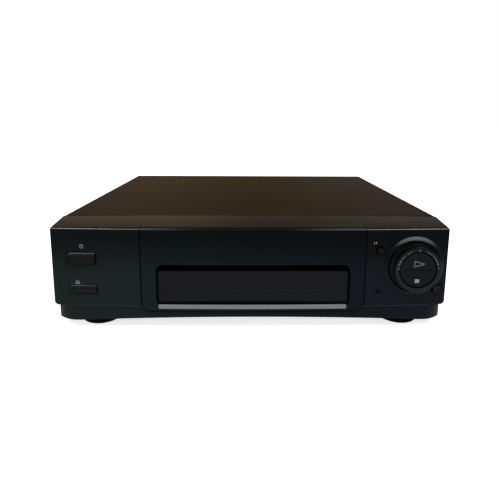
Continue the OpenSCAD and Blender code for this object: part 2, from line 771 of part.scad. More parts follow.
module mains_inlet() {
    color("#18181a") difference() {
        union() {
            box([inlet_x - 10.7, inlet_x + 10.7], [body_d - 20, body_d + 0.8],
                [inlet_z - 6.2, inlet_z + 6.2]);
            box([inlet_x - 8, inlet_x + 8], [body_d - 20, body_d - 12], [pcb_top, inlet_z]);
        }
        for (s = [-1, 1]) difference() {
            rod(inlet_x + s * 4.3, inlet_z, [body_d - 12, body_d + 2], 4.1);
            rod(inlet_x + s * 4.3, inlet_z, [body_d - 13, body_d - 2], 1.15);
        }
    }
}

// Flat ribbons from the front board down to the main board and across to the power board
module ribbon_cables() {
    y = board_y + board_t;
    color("#c9c4b4") {
        translate([side_x - 60, 0, 0]) rotate([90, 0, 90]) linear_extrude(height = 26)
            polygon([[y, 40], [y + 7, 33], [y + 16, pcb_top + 3], [51, pcb_top], [57, pcb_top],
                [57, pcb_top + 1.4],
                [52, pcb_top + 1.4], [y + 17.5, pcb_top + 4], [y + 8.2, 34], [y, 42]]);
        translate([supply_x + 34, 0, 0]) rotate([90, 0, 90]) linear_extrude(height = 20)
            polygon([[y, 40], [y + 30, floor_top + 3], [146, floor_top + 8], [151, pcb_top], [155.5, pcb_top],
                [153, pcb_top + 1.4], [146, floor_top + 9.6], [y + 30, floor_top + 4.6], [y, 42]]);
    }
}

module deck_plate() {
    color("#a9abae") difference() {
        union() {
            box([win_x - 112, win_x + 112], [60, deck_back], [deck_z, deck_top]);
            for (s = [-1, 1]) on_deck([s * reel_gap / 2, hub_y]) cylinder(r = 2, h = 12);
            on_deck([0, idle_y]) cylinder(r = 2, h = 5.4);
            on_deck(cap) cylinder(r = 5, h = 4);
            on_deck(pinch_pivot) cylinder(r = 2, h = 28);
            on_deck(cam) cylinder(r = 2.5, h = 16);
            on_deck(tension_pivot) cylinder(r = 2, h = 6);
        }
        on_deck(cap, deck_z - 1) cylinder(r = 2 + run, h = 9);
        for (s = [-1, 1]) on_deck([s * guide_from[0], guide_from[1]], deck_z - 1)
            rotate([0, 0, -s * slide_turn]) {
            cylinder(r = 2.3, h = 4);
            translate([-2.3, 0, 0]) cube([4.6, slide_len, 4]);
            translate([0, slide_len, 0]) cylinder(r = 2.3, h = 4);
        }
    }
}

slot_y = [holder_y + 8, holder_y + holder_d - 8];
lift_z = slot_z + tape_h + 13.5;

module carriage_bracket(s) {
    x = win_x + s * plate_x;
    far = slot_y[1] + load_in;
    difference() {
        union() {
            box(s > 0 ? [x, x + metal_t] : [x - metal_t, x], [holder_y - 2, far + 8],
                [deck_top, lift_z + 10]);
            box(s > 0 ? [x - 3, x + 6] : [x - 6, x + 3], [64, far + 4], [deck_top, deck_top + metal_t]);
            if (s > 0) pin([x, x + 7], far - slot_y[1] + slot_y[0] - 3, lift_z - 3 - pinion_r, guide_r);
        }
        box([x - 4, x + 4], [slot_y[0], far], [lift_z - guide_r - 0.1, lift_z + guide_r + 0.1]);
        for (y = [slot_y[0], far]) pin([x - 4, x + 4], y, lift_z, guide_r + 0.1);
        box([x - 2, x + 2], [slot_y[0] + 14, far - 34], [deck_top + 12, slot_z + 14]);
        if (s < 0) box([x - 2, x + 2], [slot_y[0] + 14, far - 34], [slot_z + 18, lift_z - 8]);
    }
}

module carriage_bracket_left() { color("#b4b6b8") carriage_bracket(-1); }

module carriage_bracket_right() { color("#b4b6b8") carriage_bracket(1); }

pinion_y = slot_y[0] + load_in - 3;
rack_x = win_x + plate_x + metal_t + 0.8;

// The rack's teeth: pitch line at z = 0, gaps centred on whole pitches
module rack(y, height) {
    pitch = PI * tooth;
    half = pitch / 4 - 0.06;
    t = tan(20);
    n = floor((y[1] - y[0]) / pitch) - 1;
    union() {
        polygon([[y[0], 1.3 * tooth], [y[1], 1.3 * tooth], [y[1], height], [y[0], height]]);
        for (i = [1 : n]) let (c = y[0] + (i + 0.5) * pitch)
            polygon([[c - half + tooth * 0.82 * t, -0.82 * tooth],
                [c + half - tooth * 0.82 * t, -0.82 * tooth],
                [c + half + 1.35 * tooth * t, 1.35 * tooth], [c - half - 1.35 * tooth * t, 1.35 * tooth]]);
    }
}

module carriage_slider() {
    x0 = rail_x + 2.4;
    pitch = PI * tooth;
    front = pinion_y - 23 * pitch;
    color("#3c4044") union() {
        for (s = [-1, 1]) difference() {
            union() {
                translate([win_x, 0, 0]) box(s > 0 ? [x0, x0 + metal_t] : [-x0 - metal_t, -x0],
                    [holder_y + 2, holder_y + holder_d - 2], [slot_z - 6, lift_z + 5]);
                for (y = slot_y) translate([win_x, 0, 0])
                    pin(s > 0 ? [x0, rack_x - win_x + 2] : [-plate_x - 4, -x0], y, lift_z, guide_r);
            }
            for (y = slot_y) translate([win_x + s * (x0 + 0.6), 0, 0]) {
                box([-2, 2], [y - guide_r - 0.1, y + guide_r + 0.1],
                    [slot_z + 13.5 - load_down, slot_z + 13.5]);
                for (z = [slot_z + 13.5 - load_down, slot_z + 13.5]) pin([-2, 2], y, z, guide_r + 0.1);
            }
        }
        translate([win_x, 0, 0])
            box([-x0 - metal_t, x0 + metal_t], [holder_y + 6, holder_y + 18], [lift_z + 5, lift_z + 6.2]);
        translate([rack_x, 0, lift_z - 3]) rotate([90, 0, 90]) linear_extrude(height = 4)
            rack([front, pinion_y + 2 * pitch], 6);
    }
}

module cassette_holder() {
    x = rail_x;
    color("#4a4e52") translate([win_x, 0, 0]) union() {
        box([-x - metal_t, x + metal_t], [holder_y, holder_y + holder_d],
            [slot_z + tape_h + 0.5, slot_z + tape_h + 0.5 + metal_t]);
        for (s = [-1, 1]) {
            box(s > 0 ? [x, x + metal_t] : [-x - metal_t, -x], [holder_y, holder_y + holder_d],
                [slot_z - metal_t, slot_z + tape_h + 1]);
            box(s > 0 ? [x - 8, x + metal_t] : [-x - metal_t, -x + 8], [holder_y, holder_y + holder_d],
                [slot_z - metal_t, slot_z]);
            box(s > 0 ? [x - 10, x + metal_t] : [-x - metal_t, -x + 10],
                [holder_y + holder_d - metal_t, holder_y + holder_d],
                [slot_z - metal_t, slot_z + tape_h + 1]);
            for (y = slot_y) pin(s > 0 ? [x, x + 5.2] : [-x - 5.2, -x], y, slot_z + 13.5, guide_r);
        }
    }
}

// Involute pinion on the right bracket's stub, with one tooth pointing straight up
module carriage_pinion() {
    base = pinion_r * cos(20);
    tip = pinion_r + 0.95 * tooth;
    inv = (tan(20) - 20 * PI / 180) * 180 / PI;
    half = 90 / pinion_teeth - 0.06 / pinion_r * 180 / PI;
    steps = 5;
    flank = [for (i = [0 : steps]) let (r = base + (tip - base) * i / steps, q = acos(base / r))
        [r, half + inv - (tan(q) * 180 / PI - q)]];
    color("#d8d4c8") translate([rack_x, pinion_y, lift_z - 3 - pinion_r]) rotate([90, 0, 90]) difference() {
        linear_extrude(height = 4) union() {
            circle(pinion_r - 1.3 * tooth);
            for (k = [0 : pinion_teeth - 1]) rotate(90 + 360 * k / pinion_teeth) polygon(concat([[0, 0]],
                [for (f = flank) f[0] * [cos(f[1]), -sin(f[1])]],
                [for (i = [steps : -1 : 0]) flank[i][0] * [cos(flank[i][1]), sin(flank[i][1])]]));
        }
        translate([0, 0, -1]) cylinder(r = guide_r + run, h = 6);
    }
}

base_h = 5;
roller_z = deck_top + 5;
arm_z = deck_top + 23.8;
belt_z = deck_top + 11;

// Leans with the drum, with z = 0 at the lower drum's underside
module leaning() {
    translate([win_x, drum_y, deck_top + base_h]) rotate([drum_lean, 0, 0]) children();
}

module drum_base() {
    color("#9a9ca0") difference() {
        on_deck([0, drum_y]) cylinder(r = drum_r - 5, h = base_h + 6);
        leaning() translate([-60, -60, 0]) cube([120, 120, 40]);
    }
}

module lower_drum() {
    color("silver") leaning() difference() {
        cylinder(r = drum_r, h = drum_h);
        translate([0, 0, -1]) cylinder(r = 3 + run, h = drum_h + 2);
    }
}

module upper_drum() {
    color("gainsboro") leaning() difference() {
        union() {
            translate([0, 0, drum_h + 0.4]) cylinder(r = drum_r, h = drum_h);
            translate([0, 0, 0.6]) cylinder(r = 3, h = drum_h);
            translate([0, 0, 2 * drum_h]) cylinder(r = 21, h = 6);
        }
        for (a = [0, 90, 180, 270]) rotate(a) translate([drum_r - 4, -1.5, drum_h]) cube([6, 3, 4]);
        translate([0, 0, 2 * drum_h + 4.4]) difference() {
            cylinder(r = 18, h = 3);
            translate([0, 0, -1]) cylinder(r = 6, h = 5);
        }
    }
}

module flywheel() {
    color("#85878b") on_deck(cap, floor_top) difference() {
        union() {
            translate([0, 0, 1.5]) cylinder(r = 2, h = deck_top - floor_top + 26);
            translate([0, 0, 1.6]) cylinder(r = 26, h = deck_z - floor_top - 3.2);
        }
        translate([0, 0, deck_z - floor_top - 3]) difference() {
            cylinder(r = 22, h = 3);
            translate([0, 0, -1]) cylinder(r = 6, h = 5);
        }
    }
}

module capstan_motor() { color("#3f6b4a") on_deck(cap, floor_top) cylinder(r = 30, h = 1.2); }

module pinch_arm() {
    d = pinch_pivot - roller;
    color("#6d7074") difference() {
        union() {
            on_deck(pinch_pivot, deck_top + 0.3) cylinder(r = 4.6, h = 26.7);
            on_deck(roller, arm_z) cylinder(r = 4, h = 3.2);
            on_deck(roller, arm_z) rotate(atan2(d[1], d[0])) translate([0, -3, 0]) cube([norm(d), 6, 3.2]);
            on_deck(roller, roller_z - 0.6) cylinder(r = 1.5, h = 20);
        }
        on_deck(pinch_pivot) cylinder(r = 2 + run, h = 40);
    }
}

module pinch_roller() {
    color("#1b1b1b") on_deck(roller, roller_z + 0.3) difference() {
        cylinder(r = 7, h = arm_z - roller_z - 0.6);
        translate([0, 0, -1]) cylinder(r = 1.5 + run, h = 30);
    }
}

// A reel table: a rubber-edged flange and a hub with three driving ribs
module reel_table(s) {
    on_deck([s * reel_gap / 2, hub_y], deck_top + 0.8) difference() {
        union() {
            cylinder(r = reel_r, h = 2);
            cylinder(r = 11, h = 6);
            cylinder(r = 7.5, h = 13);
            for (a = [0, 120, 240]) rotate(a) translate([0, -1, 0]) cube([10, 2, 12]);
        }
        translate([0, 0, -1]) cylinder(r = 2 + run, h = 20);
    }
}

module supply_reel_table() { color("#e2e0d8") reel_table(-1); }

module take_up_reel_table() { color("#e2e0d8") reel_table(1); }

module idler_arm() {
    reach = hub_y - idle_y;
    color("#b9a25a") on_deck([0, idle_y], deck_top + 0.3) difference() {
        union() {
            cylinder(r = 4.5, h = 4.5);
            translate([-4, 0, 3.3]) cube([8, reach, 1.2]);
            translate([0, reach, 3.3]) cylinder(r = 4, h = 1.2);
            translate([0, reach, 0.2]) cylinder(r = 1.5, h = 4);
        }
        translate([0, 0, -1]) cylinder(r = 2 + run, h = 10);
    }
}

module idler_wheel() {
    color("#2a2a2c") on_deck([0, hub_y], deck_top + 0.8) difference() {
        cylinder(r = reel_gap / 2 - reel_r - 6, h = 2.2);
        translate([0, 0, -1]) cylinder(r = 1.5 + run, h = 5);
    }
}

// A tape guide: a shoe on the deck, its pin through the slot and its roller post
module tape_guide(s) {
    on_deck([s * guide_from[0], guide_from[1]], deck_top + 0.1) {
        cylinder(r = 6, h = 3);
        translate([0, 0, -1.4]) cylinder(r = 2, h = 2);
        cylinder(r = 1.5, h = 19);
        translate([0, 0, 5]) cylinder(r = 2.8, h = 12);
        for (z = [3.5, 17.4]) translate([0, 0, z]) cylinder(r = 3.6, h = 1.2);
    }
}

module left_tape_guide() { color("#c8c9cb") tape_guide(-1); }

module right_tape_guide() { color("#c8c9cb") tape_guide(1); }

module tension_arm() {
    color("#b0b2b5") difference() {
        on_deck(tension_pivot, deck_top + 0.3) {
            cylinder(r = 4.2, h = 5);
            rotate(-60) translate([0, -2.5, 1]) cube([22, 5, 1.6]);
            rotate(-60) translate([22, 0, 1]) cylinder(r = 2.5, h = 1.6);
            rotate(-60) translate([22, 0, 1]) cylinder(r = 1.5, h = 19);
        }
        on_deck(tension_pivot) cylinder(r = 2 + run, h = 10);
    }
}

module erase_head() {
    color("#77797c") on_deck([-52, 186]) union() {
        translate([-3.5, -4, 0]) cube([7, 8, 6]);
        translate([-4.5, -4, 6]) cube([9, 8, 14]);
    }
}

module audio_head() {
    color("#7f8184") on_deck([46.5, 185]) union() {
        translate([-3, -3, 0]) cube([6, 6, 4]);
        translate([-3.6, -4, 4]) cube([7.2, 8, 19]);
    }
}

module loading_motor() {
    color("silver") on_deck(motor) union() {
        cylinder(r = 10, h = 8.6);
        cylinder(r = 1, h = 16);
    }
}

module motor_pulley() {
    color("#e8e4da") on_deck(motor, deck_top + 9.2) difference() {
        union() {
            cylinder(r = 5, h = 1.2);
            cylinder(r = 4, h = 5);
            translate([0, 0, 4.2]) cylinder(r = 5, h = 1.2);
        }
        translate([0, 0, -1]) cylinder(r = 1 + run, h = 9);
    }
}

module loading_belt() {
    module loop(t) { hull() { translate(motor) circle(4.25 + t, $fn = 32); translate(cam)
        circle(12.25 + t, $fn = 32); } }
    color("#151515") translate([win_x, 0, belt_z]) linear_extrude(height = 1.6) difference() {
        loop(1.2);
        loop(0);
    }
}

// The cam gear: a toothed rim, a cam track in its top and the belt's pulley
module cam_gear() {
    teeth = 44;
    color("#e6e2d6") on_deck(cam, deck_top + 0.3) difference() {
        union() {
            cylinder(r = 21, h = 5);
            for (i = [0 : teeth - 1]) rotate(360 * i / teeth) linear_extrude(height = 5)
                polygon([[20, -0.9], [23, -0.45], [23, 0.45], [20, 0.9]]);
            cylinder(r = 12, h = 13.6);
            translate([0, 0, 13]) cylinder(r = 13, h = 1.2);
        }
        translate([2.2, 0, 3]) difference() {
            cylinder(r = 17.2, h = 3);
            translate([0, 0, -1]) cylinder(r = 15, h = 5);
        }
        translate([0, 0, -1]) cylinder(r = 2.5 + run, h = 20);
    }
}

place() front_fascia();
place() centre_panel();
place() sill_strip();
place() cassette_flap();
place() display_window();
place() flap_spring();
place() power_button();
place() eject_button();
place() pause_button();
place() record_button();
place() shuttle_ring();
place() play_stop_disc();
place() timer_lens();
place() top_cover();
place() cover_screws();
place() bottom_chassis();
place() rear_panel();
place() front_feet();
place() rear_feet();
place() front_board();
place() tact_switches();
place() shuttle_encoder();
place() knob_carrier();
place() display_tube();
place() main_board();
place() power_board();
place() transformer();
place() heat_sink();
place() capacitors();
place() tuner_can();
place() scart_sockets();
place() mains_inlet();
place() ribbon_cables();
place() deck_plate();
place() carriage_bracket_left();
place() carriage_bracket_right();
place() carriage_slider();
place() cassette_holder();
place() carriage_pinion();
place() drum_base();
place() lower_drum();
place() upper_drum();
place() flywheel();
place() capstan_motor();
place() pinch_arm();
place() pinch_roller();
place() supply_reel_table();
place() take_up_reel_table();
place() idler_arm();
place() idler_wheel();
place() left_tape_guide();
place() right_tape_guide();
place() tension_arm();
place() erase_head();
place() audio_head();
place() loading_motor();
place() motor_pulley();
place() loading_belt();
place() cam_gear();
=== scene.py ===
"""The looks of a front-loading video cassette recorder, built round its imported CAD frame.

Lengths in comments and in names that end in _MM are millimetres; Blender itself works in metres.
"""

import math

import bmesh
import bpy
from mathutils import Matrix, Vector
from mathutils.bvhtree import BVHTree


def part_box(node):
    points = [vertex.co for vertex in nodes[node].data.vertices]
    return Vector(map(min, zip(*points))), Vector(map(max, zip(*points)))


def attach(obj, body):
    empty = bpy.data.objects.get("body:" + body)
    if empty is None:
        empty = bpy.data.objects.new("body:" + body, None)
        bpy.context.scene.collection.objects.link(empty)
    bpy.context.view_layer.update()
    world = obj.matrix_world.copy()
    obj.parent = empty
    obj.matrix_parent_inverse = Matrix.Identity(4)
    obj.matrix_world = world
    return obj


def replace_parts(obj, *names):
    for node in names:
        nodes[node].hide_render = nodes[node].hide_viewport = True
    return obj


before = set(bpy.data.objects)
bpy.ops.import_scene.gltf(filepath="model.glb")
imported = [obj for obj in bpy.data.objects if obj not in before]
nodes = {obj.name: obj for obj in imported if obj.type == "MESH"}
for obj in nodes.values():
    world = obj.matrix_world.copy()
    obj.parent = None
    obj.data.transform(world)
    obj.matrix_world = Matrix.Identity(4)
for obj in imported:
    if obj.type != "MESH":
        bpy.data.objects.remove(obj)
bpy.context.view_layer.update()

MM = 0.001

# The shuttle's axis and the radii round it
SHUTTLE_X_MM = 177.5
SHUTTLE_Z_MM = 72.0
SKIRT_R_MM = 28.4
COLLAR_R_MM = 33.9
MARK_R_MM = 21.3

# The fascia's bow, and the y of the fascia's corners
BOW_MM = 5.1
BOW_R_MM = 4534.4
CORNER_Y_MM = -171.19

# The centre panel's sides, with their gap, and the window's heights
PANEL_SIDES_MM = (-119.4, 124.4)
FLAP_TOP_MM = 66.0
WINDOW_TOP_MM = 74.2
HINGE_CHAMBER_LOW_MM = 62.0

# The cover's side, the highest point, and the outside of the rear panel
COVER_X_MM = 214.3
COVER_TOP_MM = 119.5
BACK_Y_MM = 173.81

# How far printed ink stands on its surface
INK_MM = 0.04
# Where the rays that find that surface start, in metres: well ahead of the front
RAY_START_Y = -1

# Size of the broad patches in which a finish's shade and gloss drift
PATCH_MM = 45
# How dark a line of painted shade is, as a share of the finish's tone, and over what width it goes out
SHADE_LINE_TONE = 0.08
SHADE_LINE_SOFT_MM = 0.3

# How many steps a turned piece has round its axis
TURN_STEPS = 40

# How far the cutter of a screw's cross stands over the head, and its lower end's size as a share
CROSS_OVER_MM = 0.2
CROSS_TAPER = 0.55


# ---- Materials ----

def linear(colour):
    """An sRGB hex colour such as '#1c2022' as linear RGBA."""
    channels = [int(colour[i:i + 2], 16) / 255 for i in (1, 3, 5)]
    return [c / 12.92 if c <= 0.04045 else ((c + 0.055) / 1.055) ** 2.4 for c in channels] + [1.0]


def add(tree, kind, inputs=None, **settings):
    """Adds a shader node; inputs maps each socket to a value or to the output that feeds it."""
    node = tree.nodes.new("ShaderNode" + kind)
    for name, value in settings.items():
        setattr(node, name, value)
    for socket, value in (inputs or {}).items():
        if isinstance(value, bpy.types.NodeSocket):
            tree.links.new(value, node.inputs[socket])
        else:
            node.inputs[socket].default_value = value
    return node


def maths(tree, operation, *values):
    """The output of a maths node; each value is a number or the output of another node."""
    return add(tree, "Math", dict(enumerate(values)), operation=operation).outputs[0]


def ramp(tree, value, start, end, first=0.0, last=1.0, **settings):
    """An output that goes from first to last while value goes from start to end."""
    return add(tree, "MapRange", {"Value": value, 1: start, 2: end, 3: first, 4: last}, **settings).outputs[0]


def mix(tree, factor, first, second, **settings):
    """The colour output of a node that mixes two colours."""
    inputs = {"Factor": factor, "A": first, "B": second}
    return add(tree, "Mix", inputs, data_type="RGBA", **settings).outputs[2]


def surface(name, colour, roughness, metallic=0.0, specular=0.5):
    """A material with one principled shader, whose even values are set on its own sockets."""
    made = bpy.data.materials.new(name)
    made.use_nodes = True
    shader = made.node_tree.nodes["Principled BSDF"]
    for socket, value in (("Base Color", linear(colour)), ("Roughness", roughness), ("Metallic", metallic),
                          ("Specular IOR Level", specular)):
        shader.inputs[socket].default_value = value
    return made


def behind_bow(tree, along_axes):
    """The depth behind the bowed front, as an output: zero at the front's foremost line."""
    squared = maths(tree, "POWER", along_axes["X"], 2.0)
    bowed = maths(tree, "MULTIPLY", squared, 1 / (2 * BOW_R_MM * MM))
    behind = maths(tree, "SUBTRACT", along_axes["Y"], bowed)
    return maths(tree, "SUBTRACT", behind, (CORNER_Y_MM - BOW_MM) * MM)


def weather(made, grain_mm, height_mm, shade=0.12, gloss=0.06, stretch=(1, 1, 1), painted_light_fades=(), shifts=()):
    """Gives a material its grain as bump, with a broad drift of shade and gloss over it.

    Shade and gloss are how far tone and roughness drift to either side, and stretch scales the grain
    along each axis.
    Each fade is (axis, from_mm, to_mm, from_tone, to_tone), light and shade painted into the tone:
    it changes evenly along that axis, where D is the depth behind the bowed front.
    A shift is (axis, from_mm, to_mm, colour): the colour goes over to another along that axis.
    """
    tree = made.node_tree
    shader = tree.nodes["Principled BSDF"]
    base = shader.inputs["Base Color"].default_value[:]
    rough = shader.inputs["Roughness"].default_value
    place = add(tree, "TexCoord").outputs["Object"]
    along = add(tree, "Mapping", {"Vector": place, "Scale": stretch}).outputs["Vector"]
    grain = {"Vector": along, "Scale": 1 / (grain_mm * MM), "Detail": 3.0}
    patches = {"Vector": place, "Scale": 1 / (PATCH_MM * MM), "Detail": 2.0}
    fine = add(tree, "TexNoise", grain).outputs["Fac"]
    both = maths(tree, "ADD", fine, add(tree, "TexNoise", patches).outputs["Fac"])
    tone = ramp(tree, both, 0.5, 1.5, 1 - shade, 1 + shade)
    along_axes = dict(zip("XYZ", add(tree, "SeparateXYZ", {0: place}).outputs))
    if any(fade[0] == "D" for fade in painted_light_fades):
        along_axes["D"] = behind_bow(tree, along_axes)
    for axis, start, end, first, last in painted_light_fades:
        fade = ramp(tree, along_axes[axis], start * MM, end * MM, first, last,
                    interpolation_type="SMOOTHSTEP")
        tone = maths(tree, "MULTIPLY", tone, fade)
    for axis, start, end, second in shifts:
        base = mix(tree, ramp(tree, along_axes[axis], start * MM, end * MM), base, linear(second))
    sheen = ramp(tree, both, 0.5, 1.5, rough - gloss, rough + gloss)
    bump = add(tree, "Bump", {"Height": fine, "Distance": height_mm * MM, "Strength": 1.0})
    tree.links.new(mix(tree, 1.0, base, tone, blend_type="MULTIPLY"), shader.inputs["Base Color"])
    tree.links.new(sheen, shader.inputs["Roughness"])
    tree.links.new(bump.outputs["Normal"], shader.inputs["Normal"])
    return made


def outside_by(tree, along_axes, x, z, half_x, half_z, radius):
    """How far a point lies from a rounded rectangle's core: radius on its outline, 0 at its heart."""
    squares = []
    for axis, middle, half in (("X", x, half_x), ("Z", z, half_z)):
        off = maths(tree, "ABSOLUTE", maths(tree, "SUBTRACT", along_axes[axis], middle * MM))
        off = maths(tree, "MAXIMUM", maths(tree, "SUBTRACT", off, (half - radius) * MM), 0.0)
        squares.append(maths(tree, "POWER", off, 2.0))
    return maths(tree, "POWER", maths(tree, "ADD", *squares), 0.5)


def painted_shade_lines(made, outlines):
    """Paints shade on a finish inside outlines seen from the front: dark lines for gaps that the light
    doesn't reach.

    Each outline is a rounded rectangle (x, z, half_width, half_height, radius, rim). It is dark all
    over where rim is None, and otherwise only as far in from its border as rim says.
    """
    tree = made.node_tree
    shader = tree.nodes["Principled BSDF"]
    painted = shader.inputs["Base Color"].links[0].from_socket
    along_axes = add(tree, "SeparateXYZ", {0: add(tree, "TexCoord").outputs["Object"]}).outputs
    levels = []
    for *outline, radius, rim in outlines:
        away = outside_by(tree, along_axes, *outline, radius)
        clear = ramp(tree, away, radius * MM, (radius + SHADE_LINE_SOFT_MM) * MM, SHADE_LINE_TONE, 1.0)
        if rim is not None:
            inner = ramp(tree, away, (radius - rim - SHADE_LINE_SOFT_MM) * MM, (radius - rim) * MM, 1.0, 0.0)
            clear = maths(tree, "MAXIMUM", clear, inner)
        levels.append(clear)
    level = levels[0]
    for other in levels[1:]:
        level = maths(tree, "MULTIPLY", level, other)
    tree.links.new(mix(tree, 1.0, painted, level, blend_type="MULTIPLY"), shader.inputs["Base Color"])
    return made


def round_line(x, z, radius, rim=None):
    """A round outline for a line of painted shade."""
    return x, z, radius, radius, radius, rim


# Painted shade: the dark lines round the two keys, the two round buttons and the centre panel
FACE_SHADE_LINES_MM = ((-182.9, 80.4, 15.7, 7.0, 2.0, None), (-182.6, 45.4, 15.4, 5.35, 2.0, None),
                 round_line(140.0, 89.5, 5.45), round_line(205.6, 45.0, 6.75),
                 (2.5, 121.3, 122.6, 102.4, 9.9, None))
# Painted shade: the dark line round the window
PANEL_SHADE_LINES_MM = ((2.5, 50.6, 105.5, 23.6, 8.0, None),)
# Painted shade on the ring: the dark lines round the disc, round the ring's front and round its skirt
RING_SHADE_LINES_MM = tuple(round_line(SHUTTLE_X_MM, SHUTTLE_Z_MM, radius, rim)
                      for radius, rim in ((20.6, None), (25.9, 1.4), (28.9, 1.5)))
# Painted shade on the disc: the dark line along its border
DISC_SHADE_LINES_MM = (round_line(SHUTTLE_X_MM, SHUTTLE_Z_MM, 19.9, 1.0),)

# Painted shade and light: the face is darker towards its top and its right, and paler low down and on its
# left, towards the room's light
FACE_PAINTED_SHADE = (("Z", 56, 110, 1.0, 0.2), ("X", -190, 190, 1.1, 0.8))
# ABS moulded in a spark-eroded tool: a satin, faintly green-grey black with a fine even grain
# With painted shade: darker towards its top and its right, and dark lines round the keys, the round buttons
# and the panel
fascia_abs = painted_shade_lines(weather(surface("moulded_abs_satin_black", "#121a1a", 0.42, specular=0.025), 1.1, 0.012,
                           painted_light_fades=FACE_PAINTED_SHADE, shifts=(("X", -60, 190, "#10141b"),)), FACE_SHADE_LINES_MM)
# Painted highlight: the same moulding where a radius turns to the lamps, in a paler, glossier copy of its
# finish so that it shows a bright line
top_edge_highlight_abs = weather(surface("painted_highlight_top_radius", "#1c2427", 0.3, specular=0.32), 1.1, 0.004)
# Painted highlight on the same radius on the panel's lip: fainter, and fading out from both ends towards the
# middle
lip_edge_highlight_abs = weather(surface("painted_highlight_lip_radius", "#364044", 0.4, specular=0.05), 1.1, 0.004,
                       painted_light_fades=(("X", -125, -50, 0.7, 0.05), ("X", 35, 108, 1.0, 15.0)))
# Painted highlight: the plinth's upper edge, in a pale copy of the moulding where it would catch the light
plinth_highlight_abs = weather(surface("painted_highlight_plinth_edge", "#454c4d", 0.5, specular=0.2), 1.1, 0.004)
# Painted highlight: the shuttle's collar, pale along the top of its crest where it would gather the lamps,
# fading to dark below
collar_highlight_abs = weather(surface("painted_highlight_collar", "#4c505a", 0.5, specular=0.02), 1.1, 0.004,
                     painted_light_fades=(("Z", 93, 105, 0.05, 1.0),))
# Painted reflection on the top of the same moulding: brown-black with the warm tone of the room above it,
# paler at its ends and towards the back, with painted shade in a dark line along its front; matt
band_reflection_abs = weather(surface("painted_reflection_top_brown_black", "#332b21", 0.55, specular=0.006), 1.1, 0.01,
                   painted_light_fades=(("X", -120, 20, 1.0, 0.5), ("X", 40, 190, 1.0, 1.5), ("D", 2, 34, 0.62, 1.15),
                          ("D", 3.0, 4.5, 0.12, 1.0)),
                   shifts=(("X", 30, 190, "#322c28"),))
# Painted reflection on the centre panel's lip on that top: the same tone, darker, paler at its ends and
# towards the back, with painted shade in a dark line along its front
lip_reflection_abs = weather(surface("painted_reflection_lip_brown_black", "#2b241b", 0.55, specular=0.006), 1.1, 0.01,
                  painted_light_fades=(("X", -110, 20, 1.2, 0.6), ("X", 40, 120, 1.0, 1.45), ("D", 2, 20, 0.75, 1.2),
                         ("D", 2.8, 4.4, 0.08, 1.0)))
# Painted shade: a dead black for places that a moulding keeps in the dark, such as the seam round the panel
# and the hinge's chamber
shade_black = surface("painted_shade_black", "#030303", 0.9, specular=0.0)
# ABS moulded in a finer tool: a little glossier and blacker than the fascia
# With the same painted shade towards its top and its right, and a dark line round the window
panel_abs = painted_shade_lines(weather(surface("moulded_abs_fine_black", "#0f1819", 0.33, specular=0.022), 0.9, 0.006,
                          painted_light_fades=FACE_PAINTED_SHADE, shifts=(("X", -60, 120, "#0a1219"),)), PANEL_SHADE_LINES_MM)
# Steel sheet laminated with brown-black vinyl: matt, with a fine leathery emboss
# With painted light: paler towards the back and on the left, as under the lamps
laminate = weather(surface("vinyl_laminated_steel", "#2d2318", 0.6, specular=0.002), 1.3, 0.02, shade=0.08,
                   painted_light_fades=(("X", -170, 20, 1.0, 0.72), ("Y", 150, -130, 1.1, 0.8)),
                   shifts=(("X", -170, 0, "#2c2111"), ("X", 20, 170, "#30271f")))
# Cast smoked acrylic: even, glossy and near black, with a cool tint
smoked_acrylic = weather(surface("smoked_acrylic", "#0b0d11", 0.14, specular=0.045), 30, 0.004, 0.05, 0.02)
# Silver lacquer on the strip under the window: even, with faint streaks along it
silver_lacquer = weather(surface("silver_lacquer", "#626466", 0.42, specular=0.3),
                         0.8, 0.006, 0.1, 0.08, stretch=(0.03, 1, 1))
# ABS keys, buffed by fingers: smoother than the fascia round them
# With painted shade: each key's face darker towards its top
key_abs = weather(surface("moulded_abs_key", "#0a0c0b", 0.34, specular=0.045), 1.0, 0.006,
                  painted_light_fades=(("Z", 76, 85.5, 1.25, 0.5), ("Z", 42, 49.5, 1.05, 0.8)))
# Painted highlight on their upper edge: a paler, glossier copy of the keys' finish
key_top_highlight_abs = weather(surface("painted_highlight_key_top", "#4c5352", 0.3, specular=0.4), 1.0, 0.004)
# Soft-touch lacquer over ABS: deep matt grey without a sharp highlight
# With painted shade: a dark line along the disc's border
soft_touch = painted_shade_lines(weather(surface("soft_touch_lacquer", "#0f1013", 0.62, specular=0.035), 0.7, 0.008),
                   DISC_SHADE_LINES_MM)
# Polished black ABS of the shuttle ring
# With painted shade: darker towards its top and paler at its left edge, and dark lines round the disc, its
# front and its skirt
ring_abs = painted_shade_lines(weather(surface("polished_black_abs", "#0f1415", 0.26, specular=0.06), 1.0, 0.003,
                         painted_light_fades=(("Z", 52, 96, 1.1, 0.4), ("X", 148, 160, 2.2, 1.0))), RING_SHADE_LINES_MM)
# Cast acrylic over a lamp that is off: a deep red that looks black
lamp_acrylic = surface("deep_red_acrylic", "#030203", 0.14, specular=0.02)
# Silk-screened inks: flat and slightly rough
grey_ink = surface("screen_ink_grey", "#7c8181", 0.6, specular=0.02)
dim_ink = surface("screen_ink_dim_grey", "#585d5e", 0.6, specular=0.1)
blue_ink = surface("screen_ink_blue_white", "#7f8db4", 0.6, specular=0.1)
# Steel, powder-coated black: an even fine orange peel
powder_black = weather(surface("powder_coated_steel", "#1c1e20", 0.5, specular=0.08), 1.4, 0.02)
# Zinc-plated sheet: cool grey with faint spangles
zinc_plate = weather(surface("zinc_plated_steel", "#a7abad", 0.36, metallic=1.0), 6, 0.004, 0.12, 0.08)
